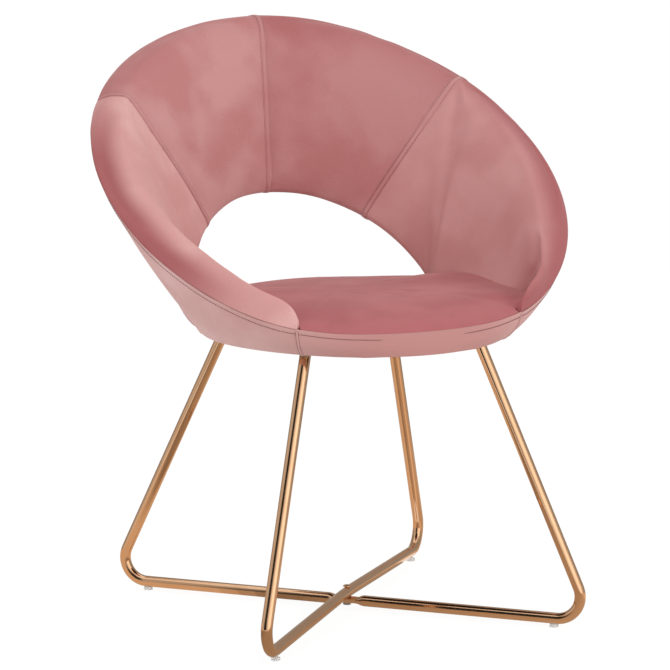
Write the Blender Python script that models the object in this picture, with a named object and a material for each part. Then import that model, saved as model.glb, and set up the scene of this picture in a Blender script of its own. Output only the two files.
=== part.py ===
"""Upholstered armchair with a tilted round shell, an open back and two crossed tube frames.

The shell is a shallow bowl.  Its rim is a circle that leans back, its foot is an oval
board, and a wide hole is cut through the back above the seat.  Around the chair the
shell is described by its section at each angle about the upright axis: angle 0 is the
front, 90 the sitter's left arm (+X) and 180 the back.  A section point is (radius, height).
Units are metres, +Z is up and the chair faces -Y.
"""

from functools import lru_cache
from math import atan2, cos, exp, hypot, log, pi, radians, sin, sqrt, tan

import bmesh
import bpy
from mathutils import Matrix, Vector

# ---------------------------------------------------------------- driving dimensions
# a RISE is a height above the foot of the shell, which stands at BASE_HEIGHT
GAP = 0.0003                    # clearance between pieces that touch

# the rim, where the inner pads and the outer cover are sewn together
RIM_HALF_WIDTH = 0.350
RIM_HALF_DEPTH = 0.291          # in plan
RIM_CENTRE_Y = 0.050
RIM_SIDE_RISE = 0.1754          # the rim's plane, above the chair's centre
RIM_TILT = radians(34.9)
RIM_FRONT_RISE = 0.0266         # the front edge is lifted out of the rim's plane
RIM_FRONT_BLEND = 0.0142

# the foot of the shell
BASE_HEIGHT = 0.410
BASE_HALF_WIDTH = 0.2187
BASE_HALF_DEPTH = 0.2524
BASE_CENTRE_Y = -0.0036
BASE_CORNER_PULL = 0.009        # the foot is drawn in a little under the hole's corners
OUTER_BULGE = 0.0062            # how far the outer cover bellies out of a straight line

# the hole in the back, measured to the lowest point of its rolled upper edge
HOLE_HALF_WIDTH = 0.2096
HOLE_HALF_DEPTH = 0.2112
HOLE_CENTRE_Y = 0.0675
HOLE_POWER = 1.593
HOLE_TOP_RISE = 0.161
HOLE_ARCH_SLOPE = 0.346         # the upper edge falls as a parabola in front of its top
HOLE_ARCH_CURVE = 2.757
HOLE_CORNER_RISE = 0.0384       # the hole's upper edge comes out of the seat at this height
HOLE_RISE = radians(8)          # angle over which the ring's lower edge climbs to it
HOLE_ROLL = 0.010               # depth of the rolled edge
HOLE_EDGE_THICKNESS = 0.026

# layers of the ring, from the outside in
COVER = 0.007                   # outer fabric and its foam
SHELL_PLY = 0.008               # moulded plywood shell
PAD_TAIL = 0.0055               # inner pad where it goes down beside the seat
ARM_THICKNESS = 0.055           # whole ring, over the arms
BACK_THICKNESS = 0.045          # whole ring, over the back
ARM_END = radians(40.3)         # where the arm pads stop at the front
ARM_TIP = radians(6.5)          # angle over which an arm's end rounds off
ARM_TIP_SHARE = 0.15            # thickness left at the very end
ARM_FULL = radians(78)          # from here on an arm has its full thickness
ARM_FRONT_SHARE = 0.66          # and this share of it at its front end
ARM_FRONT_LEAN = radians(35)    # there the roll stands up, turned outwards by this much
ARM_LEAN_END = radians(90)      # and where that has faded out
CROWN_DROP = 0.018              # height of the roll, from the rim to its fullest point
ARM_TIP_REACH = 0.003           # how much farther in the seat's edge lies at an arm's end
SHELL_START = radians(57)       # where the plywood shell stops at the front
SHELL_INSET = 0.014             # plywood shell below the rim and above the hole's edge
PAD_SEAM_RIM = radians(124.6)   # seam between arm pad and back pad, at the rim
PAD_SEAM_HOLE = radians(148.0)  # and at the hole
PAD_SEAM_GAP = 0.0009

# the seat
SEAT_HALF_WIDTH = 0.238         # where the seat meets the arm pads
SEAT_FRONT_DEPTH = 0.180
SEAT_REAR_DEPTH = 0.196
SEAT_CENTRE_Y = -0.050
SEAT_POWER = 2.68
SEAT_SIDE_RISE = 0.0515
SEAT_CORNER_DROP = 0.001        # lower towards the corners of the hole
SEAT_CORNER_PULL = 0.008        # and drawn in
SEAT_CROWN_RISE = 0.0550
SEAT_REAR_SEAM_RISE = 0.0185
SEAT_CROWN_FRONT = 5.5          # a higher power keeps the top flat nearer its edge
SEAT_CROWN_SIDE = 8.0
SEAT_CROWN_REAR = 4.3
PAD_CLEAR = 0.0018              # beside the hole's corners the cushion keeps off the pads
SEAT_LOBE = 0.008               # the stuffing bulges up beside the hole's corners
SEAT_LOBE_ANGLE = radians(101)
SEAT_LOBE_SPREAD = radians(13)
BAND_BEVEL = 0.006              # the cover strips are cut to an edge along their seams
BOARD = 0.012                   # plywood seat board
DUST_COVER = 0.001
DUST_COVER_INSET = 0.008

# the two crossed frames, each one bent tube
TUBE = 0.016
TUBE_SIDES = 16
BEND_RADIUS = 0.034
FOOT_HALF_WIDTH = 0.2545
FOOT_FRONT_Y = -0.267
FOOT_BACK_Y = 0.265
LEG_FRONT_X = 0.132             # leg axes where they meet the underside
LEG_FRONT_Y = -0.146
LEG_BACK_X = 0.1275
LEG_BACK_Y = 0.1256
PINCH_THICKNESS = 0.0055        # the lower rail is pressed flat under the upper one
PINCH_WIDTH = 0.0205
PINCH_HALF_LENGTH = 0.011
PINCH_RUNOUT = 0.016
CROSS_BEND = 0.030              # length over which the upper rail turns at the crossing

# hardware
PLATE_LENGTH = 0.058
PLATE_WIDTH = 0.032
PLATE = 0.0022
PLATE_CORNER = 0.008
SCREW_SPACING = 0.040
FASTENER_SIDES = 12
SCREW = 0.005
SCREW_CLEARANCE = 0.0003
SCREW_HEAD = 0.0095
SCREW_HEAD_HEIGHT = 0.0022
SOCKET_ACROSS = 0.004
SOCKET_DEPTH = 0.0013
SCREW_COVERED = 0.001           # board left over a screw's tip
CROSS_BOLT = 0.006
CROSS_HEAD = 0.0115
CROSS_HEAD_HEIGHT = 0.0028
CROSS_NUT = 0.010               # across flats
CROSS_NUT_HEIGHT = 0.0042
GLIDE = 0.013
GLIDE_HEIGHT = 0.004            # thickness of the disc between floor and rail
GLIDE_STEM = 0.005
GLIDE_STEM_LENGTH = 0.006
GLIDE_ALONG_RAIL = 0.056        # from the frame's corner, along the rail

# ---------------------------------------------------------------- derived heights
SEATING = BASE_HEIGHT + BOARD + GAP             # top of the board, plus clearance
DUST_TOP = BASE_HEIGHT - GAP
PLATE_TOP = DUST_TOP - DUST_COVER - GAP
LEG_END = PLATE_TOP - PLATE - GAP
RAIL_HEIGHT = GLIDE_HEIGHT + GAP + TUBE / 2     # axis of the floor rails
RIM_SIDE_HEIGHT = BASE_HEIGHT + RIM_SIDE_RISE
RIM_FRONT_HEIGHT = BASE_HEIGHT + RIM_FRONT_RISE
HOLE_TOP_HEIGHT = BASE_HEIGHT + HOLE_TOP_RISE
SEAT_SIDE_HEIGHT = BASE_HEIGHT + SEAT_SIDE_RISE
SEAT_CROWN_HEIGHT = BASE_HEIGHT + SEAT_CROWN_RISE
SEAT_REAR_SEAM_HEIGHT = BASE_HEIGHT + SEAT_REAR_SEAM_RISE
PAD_DEPTH = COVER + SHELL_PLY + 2 * GAP         # from the outer surface to the pad's back

SEAT_STEP = radians(1.0)        # the seat steps in round the arms over this angle


# ---------------------------------------------------------------- the hole and the stations
def polar_radius(angle, half_width, half_depth, centre_y, power=2.0):
    """Distance from the upright axis to a superellipse, in the given direction."""
    low, high = 0.0, 2 * (half_width + half_depth + abs(centre_y))
    for _ in range(44):
        r = (low + high) / 2
        across = abs(r * sin(angle) / half_width) ** power
        along = abs((-r * cos(angle) - centre_y) / half_depth) ** power
        if across + along < 1:
            low = r
        else:
            high = r
    return r


def hole_edge(angle):
    r = polar_radius(angle, HOLE_HALF_WIDTH, HOLE_HALF_DEPTH, HOLE_CENTRE_Y, HOLE_POWER)
    in_front = HOLE_CENTRE_Y + HOLE_HALF_DEPTH + r * cos(angle)
    arch = in_front * (HOLE_ARCH_SLOPE + in_front * HOLE_ARCH_CURVE)
    return Vector((r, HOLE_TOP_HEIGHT - arch))


def hole_corner():
    """Angle at which the hole's upper edge comes out of the seat."""
    low, high = radians(90), radians(170)
    for _ in range(50):
        angle = (low + high) / 2
        if hole_edge(angle).y < BASE_HEIGHT + HOLE_CORNER_RISE:
            low = angle
        else:
            high = angle
    return angle


# angles at which every layer of the chair has a ring of points, so that they nest
HOLE_CORNER = hole_corner()
HOLE_START = HOLE_CORNER - HOLE_RISE


def spread(start, stop, count):
    """Evenly spaced values, both ends included."""
    return [start + (stop - start) * i / (count - 1) for i in range(count)]


def all_stations():
    marks = spread(0, ARM_END - SEAT_STEP, 6) + [ARM_END]
    marks += [ARM_END + ARM_TIP * share for share in (0.1, 0.3, 0.6, 1.0)]
    marks += spread(ARM_END + ARM_TIP, SHELL_START - radians(1.0), 4)[1:]
    marks += spread(SHELL_START, HOLE_START, 10)
    marks += spread(HOLE_START, HOLE_CORNER, 5)[1:]
    marks += spread(HOLE_CORNER, pi, 9)[1:]
    return [round(mark, 7) for mark in marks]


STATIONS = all_stations()


def stations(start, stop):
    """The limits, and every common station between them."""
    inside = [mark for mark in STATIONS if start + 1e-4 < mark < stop - 1e-4]
    return [round(start, 7)] + inside + [round(stop, 7)]


COLOURS = {
    "rose_velvet": ((0.55, 0.22, 0.21), 0.85, 0.0),
    "pale_velvet": ((0.62, 0.33, 0.31), 0.85, 0.0),
    "plywood": ((0.55, 0.38, 0.22), 0.6, 0.0),
    "black_cloth": ((0.03, 0.03, 0.03), 0.9, 0.0),
    "copper_plate": ((0.75, 0.45, 0.30), 0.2, 1.0),
    "zinc_steel": ((0.62, 0.62, 0.60), 0.35, 1.0),
    "clear_plastic": ((0.85, 0.85, 0.85), 0.3, 0.0),
}


# ---------------------------------------------------------------- small helpers
def ease(value, low, high):
    """0 below low, 1 above high, smooth between."""
    t = min(1.0, max(0.0, (value - low) / (high - low)))
    return t * t * (3 - 2 * t)


def mix(a, b, t):
    return a + (b - a) * t


def material(name):
    """The named Principled material, made on first use."""
    found = bpy.data.materials.get(name)
    if found:
        return found
    colour, roughness, metallic = COLOURS[name]
    made = bpy.data.materials.new(name)
    made.use_nodes = True
    shader = made.node_tree.nodes["Principled BSDF"]
    shader.inputs["Base Color"].default_value = (*colour, 1)
    shader.inputs["Roughness"].default_value = roughness
    shader.inputs["Metallic"].default_value = metallic
    return made


def new_object(name, bm, finish, smooth_angle=40):
    """Turn a bmesh into a named object that hangs from the chair's own empty."""
    bmesh.ops.recalc_face_normals(bm, faces=bm.faces)
    mesh = bpy.data.meshes.new(name)
    bm.to_mesh(mesh)
    bm.free()
    mesh.shade_smooth()
    mesh.set_sharp_from_angle(angle=radians(smooth_angle))
    piece = bpy.data.objects.new(name, mesh)
    bpy.context.scene.collection.objects.link(piece)
    piece.parent = CHAIR
    if finish:
        mesh.materials.append(material(finish))
    return piece


def add_ring(bm, points):
    """A closed loop of edges through the points."""
    verts = [bm.verts.new(p) for p in points]
    return [bm.edges.new((verts[i], verts[i - 1])) for i in range(len(verts))]


def loft(name, rings, finish, smooth_angle=40):
    """A solid through a row of closed loops that all have as many points."""
    bm = bmesh.new()
    loops = [add_ring(bm, ring) for ring in rings]
    for a, b in zip(loops, loops[1:]):
        bmesh.ops.bridge_loops(bm, edges=a + b)
    for end in (loops[0], loops[-1]):
        bmesh.ops.edgeloop_fill(bm, edges=end)
    bmesh.ops.recalc_face_normals(bm, faces=bm.faces)
    bmesh.ops.triangulate(bm, faces=bm.faces, quad_method="SHORT_EDGE", ngon_method="EAR_CLIP")
    return new_object(name, bm, finish, smooth_angle)


def turned(name, profile, finish, sides=24, matrix=Matrix()):
    """A solid of revolution about Z; the profile's ends lie on the axis."""
    bm = bmesh.new()
    verts = [bm.verts.new((r, 0, z)) for r, z in profile]
    edges = [bm.edges.new(pair) for pair in zip(verts, verts[1:])]
    bmesh.ops.spin(bm, geom=verts + edges, cent=(0, 0, 0), axis=(0, 0, 1),
                   angle=2 * pi, steps=sides, use_merge=True)
    bmesh.ops.remove_doubles(bm, verts=bm.verts, dist=1e-6)
    bmesh.ops.transform(bm, matrix=matrix, verts=bm.verts)
    return new_object(name, bm, finish, 30)


def cutter(name, profile, places, sides=16):
    """Turned cutting bodies at several places, as one hidden wire object."""
    bm = bmesh.new()
    for place in places:
        verts = [bm.verts.new((r, 0, z)) for r, z in profile]
        edges = [bm.edges.new(pair) for pair in zip(verts, verts[1:])]
        made = bmesh.ops.spin(bm, geom=verts + edges, cent=(0, 0, 0), axis=(0, 0, 1),
                              angle=2 * pi, steps=sides, use_merge=True)
        fresh = [v for v in bm.verts if not v.tag]
        bmesh.ops.transform(bm, matrix=place, verts=fresh)
        for v in fresh:
            v.tag = True
        del made
    bmesh.ops.remove_doubles(bm, verts=bm.verts, dist=1e-6)
    piece = new_object(name, bm, None)
    piece.hide_render = True
    piece.display_type = "WIRE"
    return piece


def cut(piece, tool):
    modifier = piece.modifiers.new(tool.name, "BOOLEAN")
    modifier.operation = "DIFFERENCE"
    modifier.solver = "EXACT"
    modifier.object = tool


def cylinder_profile(radius, low, high):
    return [(0, low), (radius, low), (radius, high), (0, high)]


# ---------------------------------------------------------------- outlines in plan
@lru_cache(maxsize=None)
def rim(angle):
    """The sewn rim: an ellipse in plan, in a leaning plane that levels out at the front."""
    r = polar_radius(angle, RIM_HALF_WIDTH, RIM_HALF_DEPTH, RIM_CENTRE_Y)
    plane = RIM_SIDE_HEIGHT - tan(RIM_TILT) * r * cos(angle)
    lift = exp(min(50, (RIM_FRONT_HEIGHT - plane) / RIM_FRONT_BLEND))
    return Vector((r, plane + RIM_FRONT_BLEND * log(1 + lift)))


@lru_cache(maxsize=None)
def base(angle):
    r = polar_radius(angle, BASE_HALF_WIDTH, BASE_HALF_DEPTH, BASE_CENTRE_Y)
    pull = ease(angle, radians(72), HOLE_START) * (1 - ease(angle, HOLE_CORNER, radians(175)))
    return Vector((r - BASE_CORNER_PULL * pull, BASE_HEIGHT))


@lru_cache(maxsize=None)
def hole(angle):
    """Lowest line of the rolled edge over the hole."""
    return hole_edge(max(angle, HOLE_START))


@lru_cache(maxsize=None)
def seat_line(angle):
    """Where the seat's top meets the arm pads."""
    r = polar_radius(angle, SEAT_HALF_WIDTH, SEAT_REAR_DEPTH, SEAT_CENTRE_Y, SEAT_POWER)
    if -r * cos(angle) < SEAT_CENTRE_Y:
        r = polar_radius(angle, SEAT_HALF_WIDTH, SEAT_FRONT_DEPTH, SEAT_CENTRE_Y, SEAT_POWER)
    corner = ease(angle, radians(90), HOLE_START)
    height = SEAT_SIDE_HEIGHT - SEAT_CORNER_DROP * corner
    r -= SEAT_CORNER_PULL * corner
    tip = ease(angle, ARM_END - SEAT_STEP, ARM_END + radians(4.5))
    past_tip = ease(angle, ARM_END, ARM_END + radians(14))
    return Vector((r - ARM_TIP_REACH * (1 - past_tip), mix(rim(ARM_END).y + 0.0015, height, tip)))


def place(angle, point):
    """A section point in space."""
    return Vector((point[0] * sin(angle), -point[0] * cos(angle), point[1]))


# ---------------------------------------------------------------- the shell's section
def bezier(a, b, c, t):
    return a * (1 - t) ** 2 + b * 2 * t * (1 - t) + c * t * t


class Section:
    """The shell cut at one angle.  Depth is measured inwards from the outer surface."""

    def __init__(self, angle):
        self.angle = angle
        self.open = ease(angle, HOLE_CORNER - HOLE_RISE, HOLE_CORNER)
        top, bottom, edge = rim(angle), base(angle), hole(angle)
        down = (edge - top).normalized()
        inward = Vector((down.y, -down.x))
        free = edge - down * HOLE_ROLL - inward * HOLE_EDGE_THICKNESS / 2
        self.top = top
        self.bottom = mix(bottom, free, self.open)
        self.length = (self.bottom - top).length
        self.down = (self.bottom - top).normalized()
        self.inward = Vector((self.down.y, -self.down.x))
        self.side_bottom = bottom
        self.side_down = (bottom - top).normalized()
        self.thickness = self.ring_thickness()

    def ring_thickness(self):
        fade = ease(self.angle, radians(85), radians(135))
        thick = mix(ARM_THICKNESS, BACK_THICKNESS, fade)
        grow = mix(ARM_FRONT_SHARE, 1.0, ease(self.angle, ARM_END, ARM_FULL))
        tip = min(1.0, max(0.02, (self.angle - ARM_END) / ARM_TIP + 0.02))
        return thick * grow * mix(ARM_TIP_SHARE, 1.0, sqrt(1 - (1 - tip) ** 2))

    def outer(self, t, depth=0.0):
        belly = (self.top + self.bottom) / 2 - self.inward * 2 * OUTER_BULGE
        return bezier(self.top, belly, self.bottom, t) + self.inward * depth

    def end(self, depth, side_height, trim):
        """Lower end of a layer: level on the board, square across at the hole."""
        return mix(self.side(side_height, depth), 1 - trim / self.length, self.open)

    def back_depth(self):
        """Depth of the pad's back face; the plywood shell stops short of the arm's end."""
        start = ease(self.angle, ARM_END + ARM_TIP, SHELL_START - radians(1))
        return mix(COVER + GAP * 1.7, PAD_DEPTH, start)

    def run(self, depth, start, stop, count):
        return [self.outer(mix(start, stop, i / (count - 1)), depth) for i in range(count)]

    def inset(self, extra=0.0):
        return (SHELL_INSET + extra) / self.length

    def pad(self):
        """Closed outline of the inner pad, from the rim seam over the roll and down."""
        thick, down, inward = self.thickness, self.down, self.inward
        free = self.bottom + inward * HOLE_EDGE_THICKNESS
        joint = mix(seat_line(self.angle), free, self.open)
        depth = self.back_depth()
        foot = self.end(depth, SEATING, SHELL_INSET - 2 * GAP)
        width = (joint - self.top).length
        squeeze = min(1.0, max(0.3, width / 0.11))
        lean = ARM_FRONT_LEAN * (1 - ease(self.angle, ARM_END, ARM_LEAN_END))
        over = (inward * cos(lean) - down * sin(lean)) * thick
        fall = (down * cos(lean) + inward * sin(lean)) * CROWN_DROP * squeeze
        roll = ((0, 0), (0.22, -0.125), (0.50, -0.107), (0.78, 0.125), (0.94, 0.482), (1, 1))
        points = [self.top + over * a + fall * b for a, b in roll]
        crown = points[-1]
        face = (joint - crown).normalized()
        proud = Vector((face.y, -face.x)) * mix(0.009, 0.004, self.open) * squeeze
        for t in (0.25, 0.5, 0.75):
            points.append(mix(crown, joint, t) + proud * 4 * t * (1 - t))
        points.append(joint)
        tail = self.outer(self.end(depth + PAD_TAIL, SEATING, 0), depth + PAD_TAIL)
        roll = HOLE_EDGE_THICKNESS
        wrap = [(0.86, 0.72), (0.52, 1.0), (0.16, 0.72), (0.0, 0.0)]
        wrap = [self.bottom + inward * roll * a + down * HOLE_ROLL * b for a, b in wrap]
        heel = self.outer(foot, depth)
        side = [mix(joint, tail, 0.5), tail, mix(tail, heel, 0.3), mix(tail, heel, 0.55)]
        points += [mix(s, w, self.open) for s, w in zip(side, wrap)]
        lip = self.outer(foot, COVER + GAP)
        points.append(mix(mix(tail, heel, 0.8), lip, self.open))
        points += self.run(depth, foot, self.inset(-2 * GAP), 6)
        points.append(self.outer(self.inset(-2 * GAP), COVER + GAP))
        return [Vector((p.x, max(p.y, SEATING))) for p in points]

    def shell(self):
        """Closed outline of the plywood shell."""
        outer_depth, inner_depth = COVER + GAP * 1.8, COVER + GAP + SHELL_PLY
        points = self.run(outer_depth, self.inset(), self.end(outer_depth, SEATING, SHELL_INSET), 6)
        back = self.run(inner_depth, self.inset(), self.end(inner_depth, SEATING, SHELL_INSET), 6)
        return points + back[::-1]

    def cover(self):
        """Closed outline of the outer cover, from just under the rim seam to its lower edge."""
        seam = 0.0012 / self.length
        last = mix(1.0, 1 - 0.0012 / self.length, self.open)
        points = self.run(0, seam, last, 7)
        lower = self.end(COVER, BASE_HEIGHT, SHELL_INSET - 2 * GAP)
        points += self.run(COVER, lower, self.inset(-2 * GAP), 6)
        return points

    def band(self, top):
        """Closed outline of a cover strip that stands on the base line only."""
        t_top = self.side(top)
        points = [self.side_point(mix(t_top, 1, i / 4), 0) for i in range(5)]
        lower = self.side(BASE_HEIGHT, COVER)
        upper = self.side(max(top - BAND_BEVEL, BASE_HEIGHT + 0.001), COVER)
        points += [self.side_point(mix(lower, upper, i / 4), COVER) for i in range(5)]
        return points

    def side_point(self, t, depth):
        """Point of the unbroken bowl, as if there were no hole."""
        inward = Vector((self.side_down.y, -self.side_down.x))
        belly = (self.top + self.side_bottom) / 2 - inward * 2 * OUTER_BULGE
        return bezier(self.top, belly, self.side_bottom, t) + inward * depth

    def side(self, height, depth=0.0):
        low, high = 0.0, 1.3
        for _ in range(40):
            t = (low + high) / 2
            if self.side_point(t, depth).y > height:
                low = t
            else:
                high = t
        return t


@lru_cache(maxsize=None)
def section(angle):
    return Section(angle)


# ---------------------------------------------------------------- ring: pads, shell, cover
def side_seam():
    """Flat cut between arm pad and back pad: a point on it and its normal, towards the back."""
    top = place(PAD_SEAM_RIM, rim(PAD_SEAM_RIM))
    foot = place(PAD_SEAM_HOLE, hole(PAD_SEAM_HOLE))
    middle = (PAD_SEAM_RIM + PAD_SEAM_HOLE) / 2
    inward = place(middle, section(middle).inward)
    normal = (foot - top).cross(inward).normalized()
    return top, normal if normal.y > 0 else -normal


def trim(piece, origin, normal, mirror):
    """Cut a solid along a plane, drop what lies beyond it and close the cut."""
    origin = Vector((origin.x * mirror, origin.y, origin.z))
    normal = Vector((normal.x * mirror, normal.y, normal.z))
    bm = bmesh.new()
    bm.from_mesh(piece.data)
    everything = bm.verts[:] + bm.edges[:] + bm.faces[:]
    made = bmesh.ops.bisect_plane(bm, geom=everything, dist=1e-7, plane_co=origin,
                                  plane_no=normal, clear_outer=True)
    rim_edges = [e for e in made["geom_cut"] if isinstance(e, bmesh.types.BMEdge)]
    cap = bmesh.ops.edgeloop_fill(bm, edges=rim_edges)["faces"]
    bmesh.ops.triangulate(bm, faces=cap, ngon_method="EAR_CLIP")
    bmesh.ops.recalc_face_normals(bm, faces=bm.faces)
    bm.to_mesh(piece.data)
    bm.free()
    piece.data.set_sharp_from_angle(angle=radians(60))


def make_pads():
    origin, normal = side_seam()
    half_gap = normal * PAD_SEAM_GAP / 2
    for side, mirror in (("left", 1), ("right", -1)):
        rings = {}
        for angle in stations(ARM_END, pi):
            rings[angle] = [place(mirror * angle, p) for p in section(angle).pad()]
        arm = [ring for angle, ring in rings.items() if angle < PAD_SEAM_HOLE + 0.35]
        back = [ring for angle, ring in rings.items() if angle > PAD_SEAM_RIM - 0.35]
        piece = loft(f"arm_pad_{side}", arm, "rose_velvet", 60)
        trim(piece, origin - half_gap, normal, mirror)
        piece = loft(f"back_pad_{side}", back, "rose_velvet", 60)
        trim(piece, origin + half_gap, -normal, mirror)
        trim(piece, Vector((PAD_SEAM_GAP / 2, 0, 0)), Vector((-1, 0, 0)), mirror)


def make_plywood_shell():
    half = [(a, section(a).shell()) for a in stations(SHELL_START, pi)]
    rings = [[place(a, p) for p in points] for a, points in half]
    rings += [[place(-a, p) for p in points] for a, points in half[-2::-1]]
    return loft("plywood_shell", rings, "plywood", 50)


def make_outer_covers():
    angles = stations(ARM_END + GAP / 0.25, pi - PAD_SEAM_GAP / 2 / 0.30)
    for side, mirror in (("left", 1), ("right", -1)):
        rings = [[place(mirror * a, p) for p in section(a).cover()] for a in angles]
        loft(f"outer_cover_{side}", rings, "pale_velvet", 50)


def rear_band_top(angle):
    """The band's upper edge: the seat's rear seam, or lower where the ring comes down."""
    ring_foot = section(angle).bottom.y - 0.006
    seam = mix(SEAT_REAR_SEAM_HEIGHT + 0.014, SEAT_REAR_SEAM_HEIGHT,
               ease(angle, HOLE_CORNER, radians(165)))
    return max(BASE_HEIGHT + 0.002, min(seam, ring_foot))


def make_bands():
    """Strips of cover at the front of the seat and, under the hole, at its rear."""
    front = stations(0, ARM_END)
    rings = [(a, section(a).band(rim(a).y)) for a in front]
    loft("front_band", both_sides(rings), "pale_velvet", 50)
    rear = stations(HOLE_START + HOLE_RISE * 0.3, pi)[::-1]
    rings = [(a, section(a).band(rear_band_top(a))) for a in rear]
    loft("rear_band", both_sides(rings), "pale_velvet", 50)


def both_sides(half):
    """Rings from one end round to the other, given those from the middle to one end."""
    rings = [[place(-a, p) for p in points] for a, points in half[:0:-1]]
    return rings + [[place(a, p) for p in points] for a, points in half]


# ---------------------------------------------------------------- seat
def inner_face(points, height):
    """Smallest radius at which a closed outline crosses a height."""
    found = []
    for a, b in zip(points, points[1:] + points[:1]):
        if (a.y - height) * (b.y - height) < 0:
            found.append(mix(a.x, b.x, (height - a.y) / (b.y - a.y)))
    return min(found, default=1.0)


def wall_by_strip(cut_here, top):
    """Side of the cushion behind a cover strip: foot, inner corner and edge."""
    depth = COVER + GAP * 3
    foot = cut_here.side_point(cut_here.side(SEATING, depth), depth)
    corner = cut_here.side_point(cut_here.side(top - BAND_BEVEL, depth), depth)
    edge = cut_here.side_point(cut_here.side(top), 0) + Vector((-GAP, GAP))
    return [foot, corner, edge]


def wall_by_pad(cut_here):
    """Side of the cushion against an arm pad."""
    depth = cut_here.back_depth() + PAD_TAIL
    foot = cut_here.side_point(cut_here.side(SEATING, depth), depth)
    edge = seat_line(cut_here.angle)
    wall = [foot, mix(foot, edge, 0.5), edge]
    if cut_here.open > 0:
        wall = [Vector((min(p.x, free_radius(cut_here.angle, p.y)), p.y)) for p in wall]
    return [p - Vector((GAP * 1.3, 0)) for p in wall]


def free_radius(angle, height):
    """How far out the cushion may reach at a height, behind the middle of the arms."""
    if angle < pi / 2:
        return 1.0
    outline = section(angle).pad()
    return min(inner_face(outline, height + up) for up in (0, 0.003, 0.006, 0.009)) - PAD_CLEAR


def seat_wall(angle):
    cut_here = section(angle)
    if angle < ARM_END - SEAT_STEP / 2:
        return wall_by_strip(cut_here, rim(angle).y)
    if angle < HOLE_CORNER - HOLE_RISE * 0.2:
        return wall_by_pad(cut_here)
    return wall_by_strip(cut_here, rear_band_top(angle))


def crown_power(angle):
    front = mix(SEAT_CROWN_FRONT, SEAT_CROWN_SIDE, ease(angle, radians(30), radians(60)))
    return mix(front, SEAT_CROWN_REAR, ease(angle, radians(105), radians(150)))


def all_round(marks):
    """Each station on the left, then its mirror image on the right, once round."""
    return [(a, a) for a in marks] + [(-a, a) for a in marks[-2:0:-1]]


def soft_edge(angle, spread_over):
    """The cushion's edge averaged along its outline, for the rings nearer the middle."""
    near = []
    for share in (-1, -0.5, 0, 0.5, 1):
        at = abs(angle + share * spread_over)
        near.append(seat_wall(round(min(at, 2 * pi - at), 7))[2])
    return sum(near, Vector((0, 0))) / len(near)


def lobe(angle, share):
    """Extra height of the cushion beside the corners of the hole."""
    near = exp(-((angle - SEAT_LOBE_ANGLE) / SEAT_LOBE_SPREAD) ** 2)
    return SEAT_LOBE * near * ease(share, 0.25, 0.87) * ease(1 - share, -0.01, 0.04)


def make_seat_cushion():
    shares = (0.985, 0.94, 0.87, 0.75, 0.55, 0.25)
    rings = [[] for _ in range(3 + len(shares))]
    nudge = GAP / 0.2
    marks = [a - nudge if abs(a - ARM_END) < 1e-5 else a for a in STATIONS]
    for a, half in all_round(marks):
        wall = seat_wall(half)
        for ring, point in zip(rings, wall):
            ring.append(place(a, point))
        edge = wall[2]
        for ring, share in zip(rings[3:], shares):
            soft = soft_edge(half, radians(11) * min(1, (1 - share) / 0.1))
            rise = 1 - share ** crown_power(half)
            height = mix(soft.y, SEAT_CROWN_HEIGHT, rise) + lobe(half, share)
            radius = min(soft.x * share, edge.x * (1 + share) / 2, free_radius(half, height))
            ring.append(place(a, (radius, height)))
    return loft("seat_cushion", rings, "rose_velvet", 60)


def sheet(name, depth, low, high, finish):
    """A flat sheet whose edge stays one depth inside the shell's foot."""
    outline = []
    for a, half in all_round(STATIONS):
        cut_here = section(half)
        levels = [cut_here.side_point(cut_here.side(z, depth), depth) for z in (low, high)]
        outline.append(place(a, min(levels, key=lambda p: p.x)).to_2d())
    return loft(name, [[(p.x, p.y, z) for p in outline] for z in (low, high)], finish, 30)


def make_board():
    top = BASE_HEIGHT + BOARD
    board = sheet("seat_board", COVER + GAP * 1.5, BASE_HEIGHT, top, "plywood")
    profile = cylinder_profile(SCREW / 2 + GAP, BASE_HEIGHT - 0.001, top - SCREW_COVERED + GAP)
    cut(board, cutter("board_holes", profile, [Matrix.Translation((x, y, 0))
                                               for x, y in screw_places()], FASTENER_SIDES))
    return board


def make_dust_cover():
    low = DUST_TOP - DUST_COVER
    cloth = sheet("dust_cover", COVER + DUST_COVER_INSET, low, DUST_TOP, "black_cloth")
    profile = cylinder_profile(SCREW / 2 + SCREW_CLEARANCE, low - 0.001, DUST_TOP + 0.001)
    cut(cloth, cutter("dust_cover_holes", profile, [Matrix.Translation((x, y, 0))
                                                    for x, y in screw_places()], FASTENER_SIDES))
    return cloth


# ---------------------------------------------------------------- crossed tube frames
def feet():
    """Corner of each frame at the floor, and where its leg meets the shell, by name."""
    return {
        "front_left": (Vector((FOOT_HALF_WIDTH, FOOT_FRONT_Y, RAIL_HEIGHT)),
                       Vector((LEG_FRONT_X, LEG_FRONT_Y, BASE_HEIGHT))),
        "front_right": (Vector((-FOOT_HALF_WIDTH, FOOT_FRONT_Y, RAIL_HEIGHT)),
                        Vector((-LEG_FRONT_X, LEG_FRONT_Y, BASE_HEIGHT))),
        "back_left": (Vector((FOOT_HALF_WIDTH, FOOT_BACK_Y, RAIL_HEIGHT)),
                      Vector((LEG_BACK_X, LEG_BACK_Y, BASE_HEIGHT))),
        "back_right": (Vector((-FOOT_HALF_WIDTH, FOOT_BACK_Y, RAIL_HEIGHT)),
                       Vector((-LEG_BACK_X, LEG_BACK_Y, BASE_HEIGHT))),
    }


def crossing(first, second):
    """Where two floor rails cross in plan."""
    a, b = first
    c, d = second
    ab, cd = (b - a).to_2d(), (d - c).to_2d()
    t = (c - a).to_2d().cross(cd) / ab.cross(cd)
    return a + (b - a) * t


RAILS = {"lower": ("back_right", "front_left"), "upper": ("front_right", "back_left")}


def rail_ends(which):
    return tuple(feet()[name][0] for name in RAILS[which])


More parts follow.
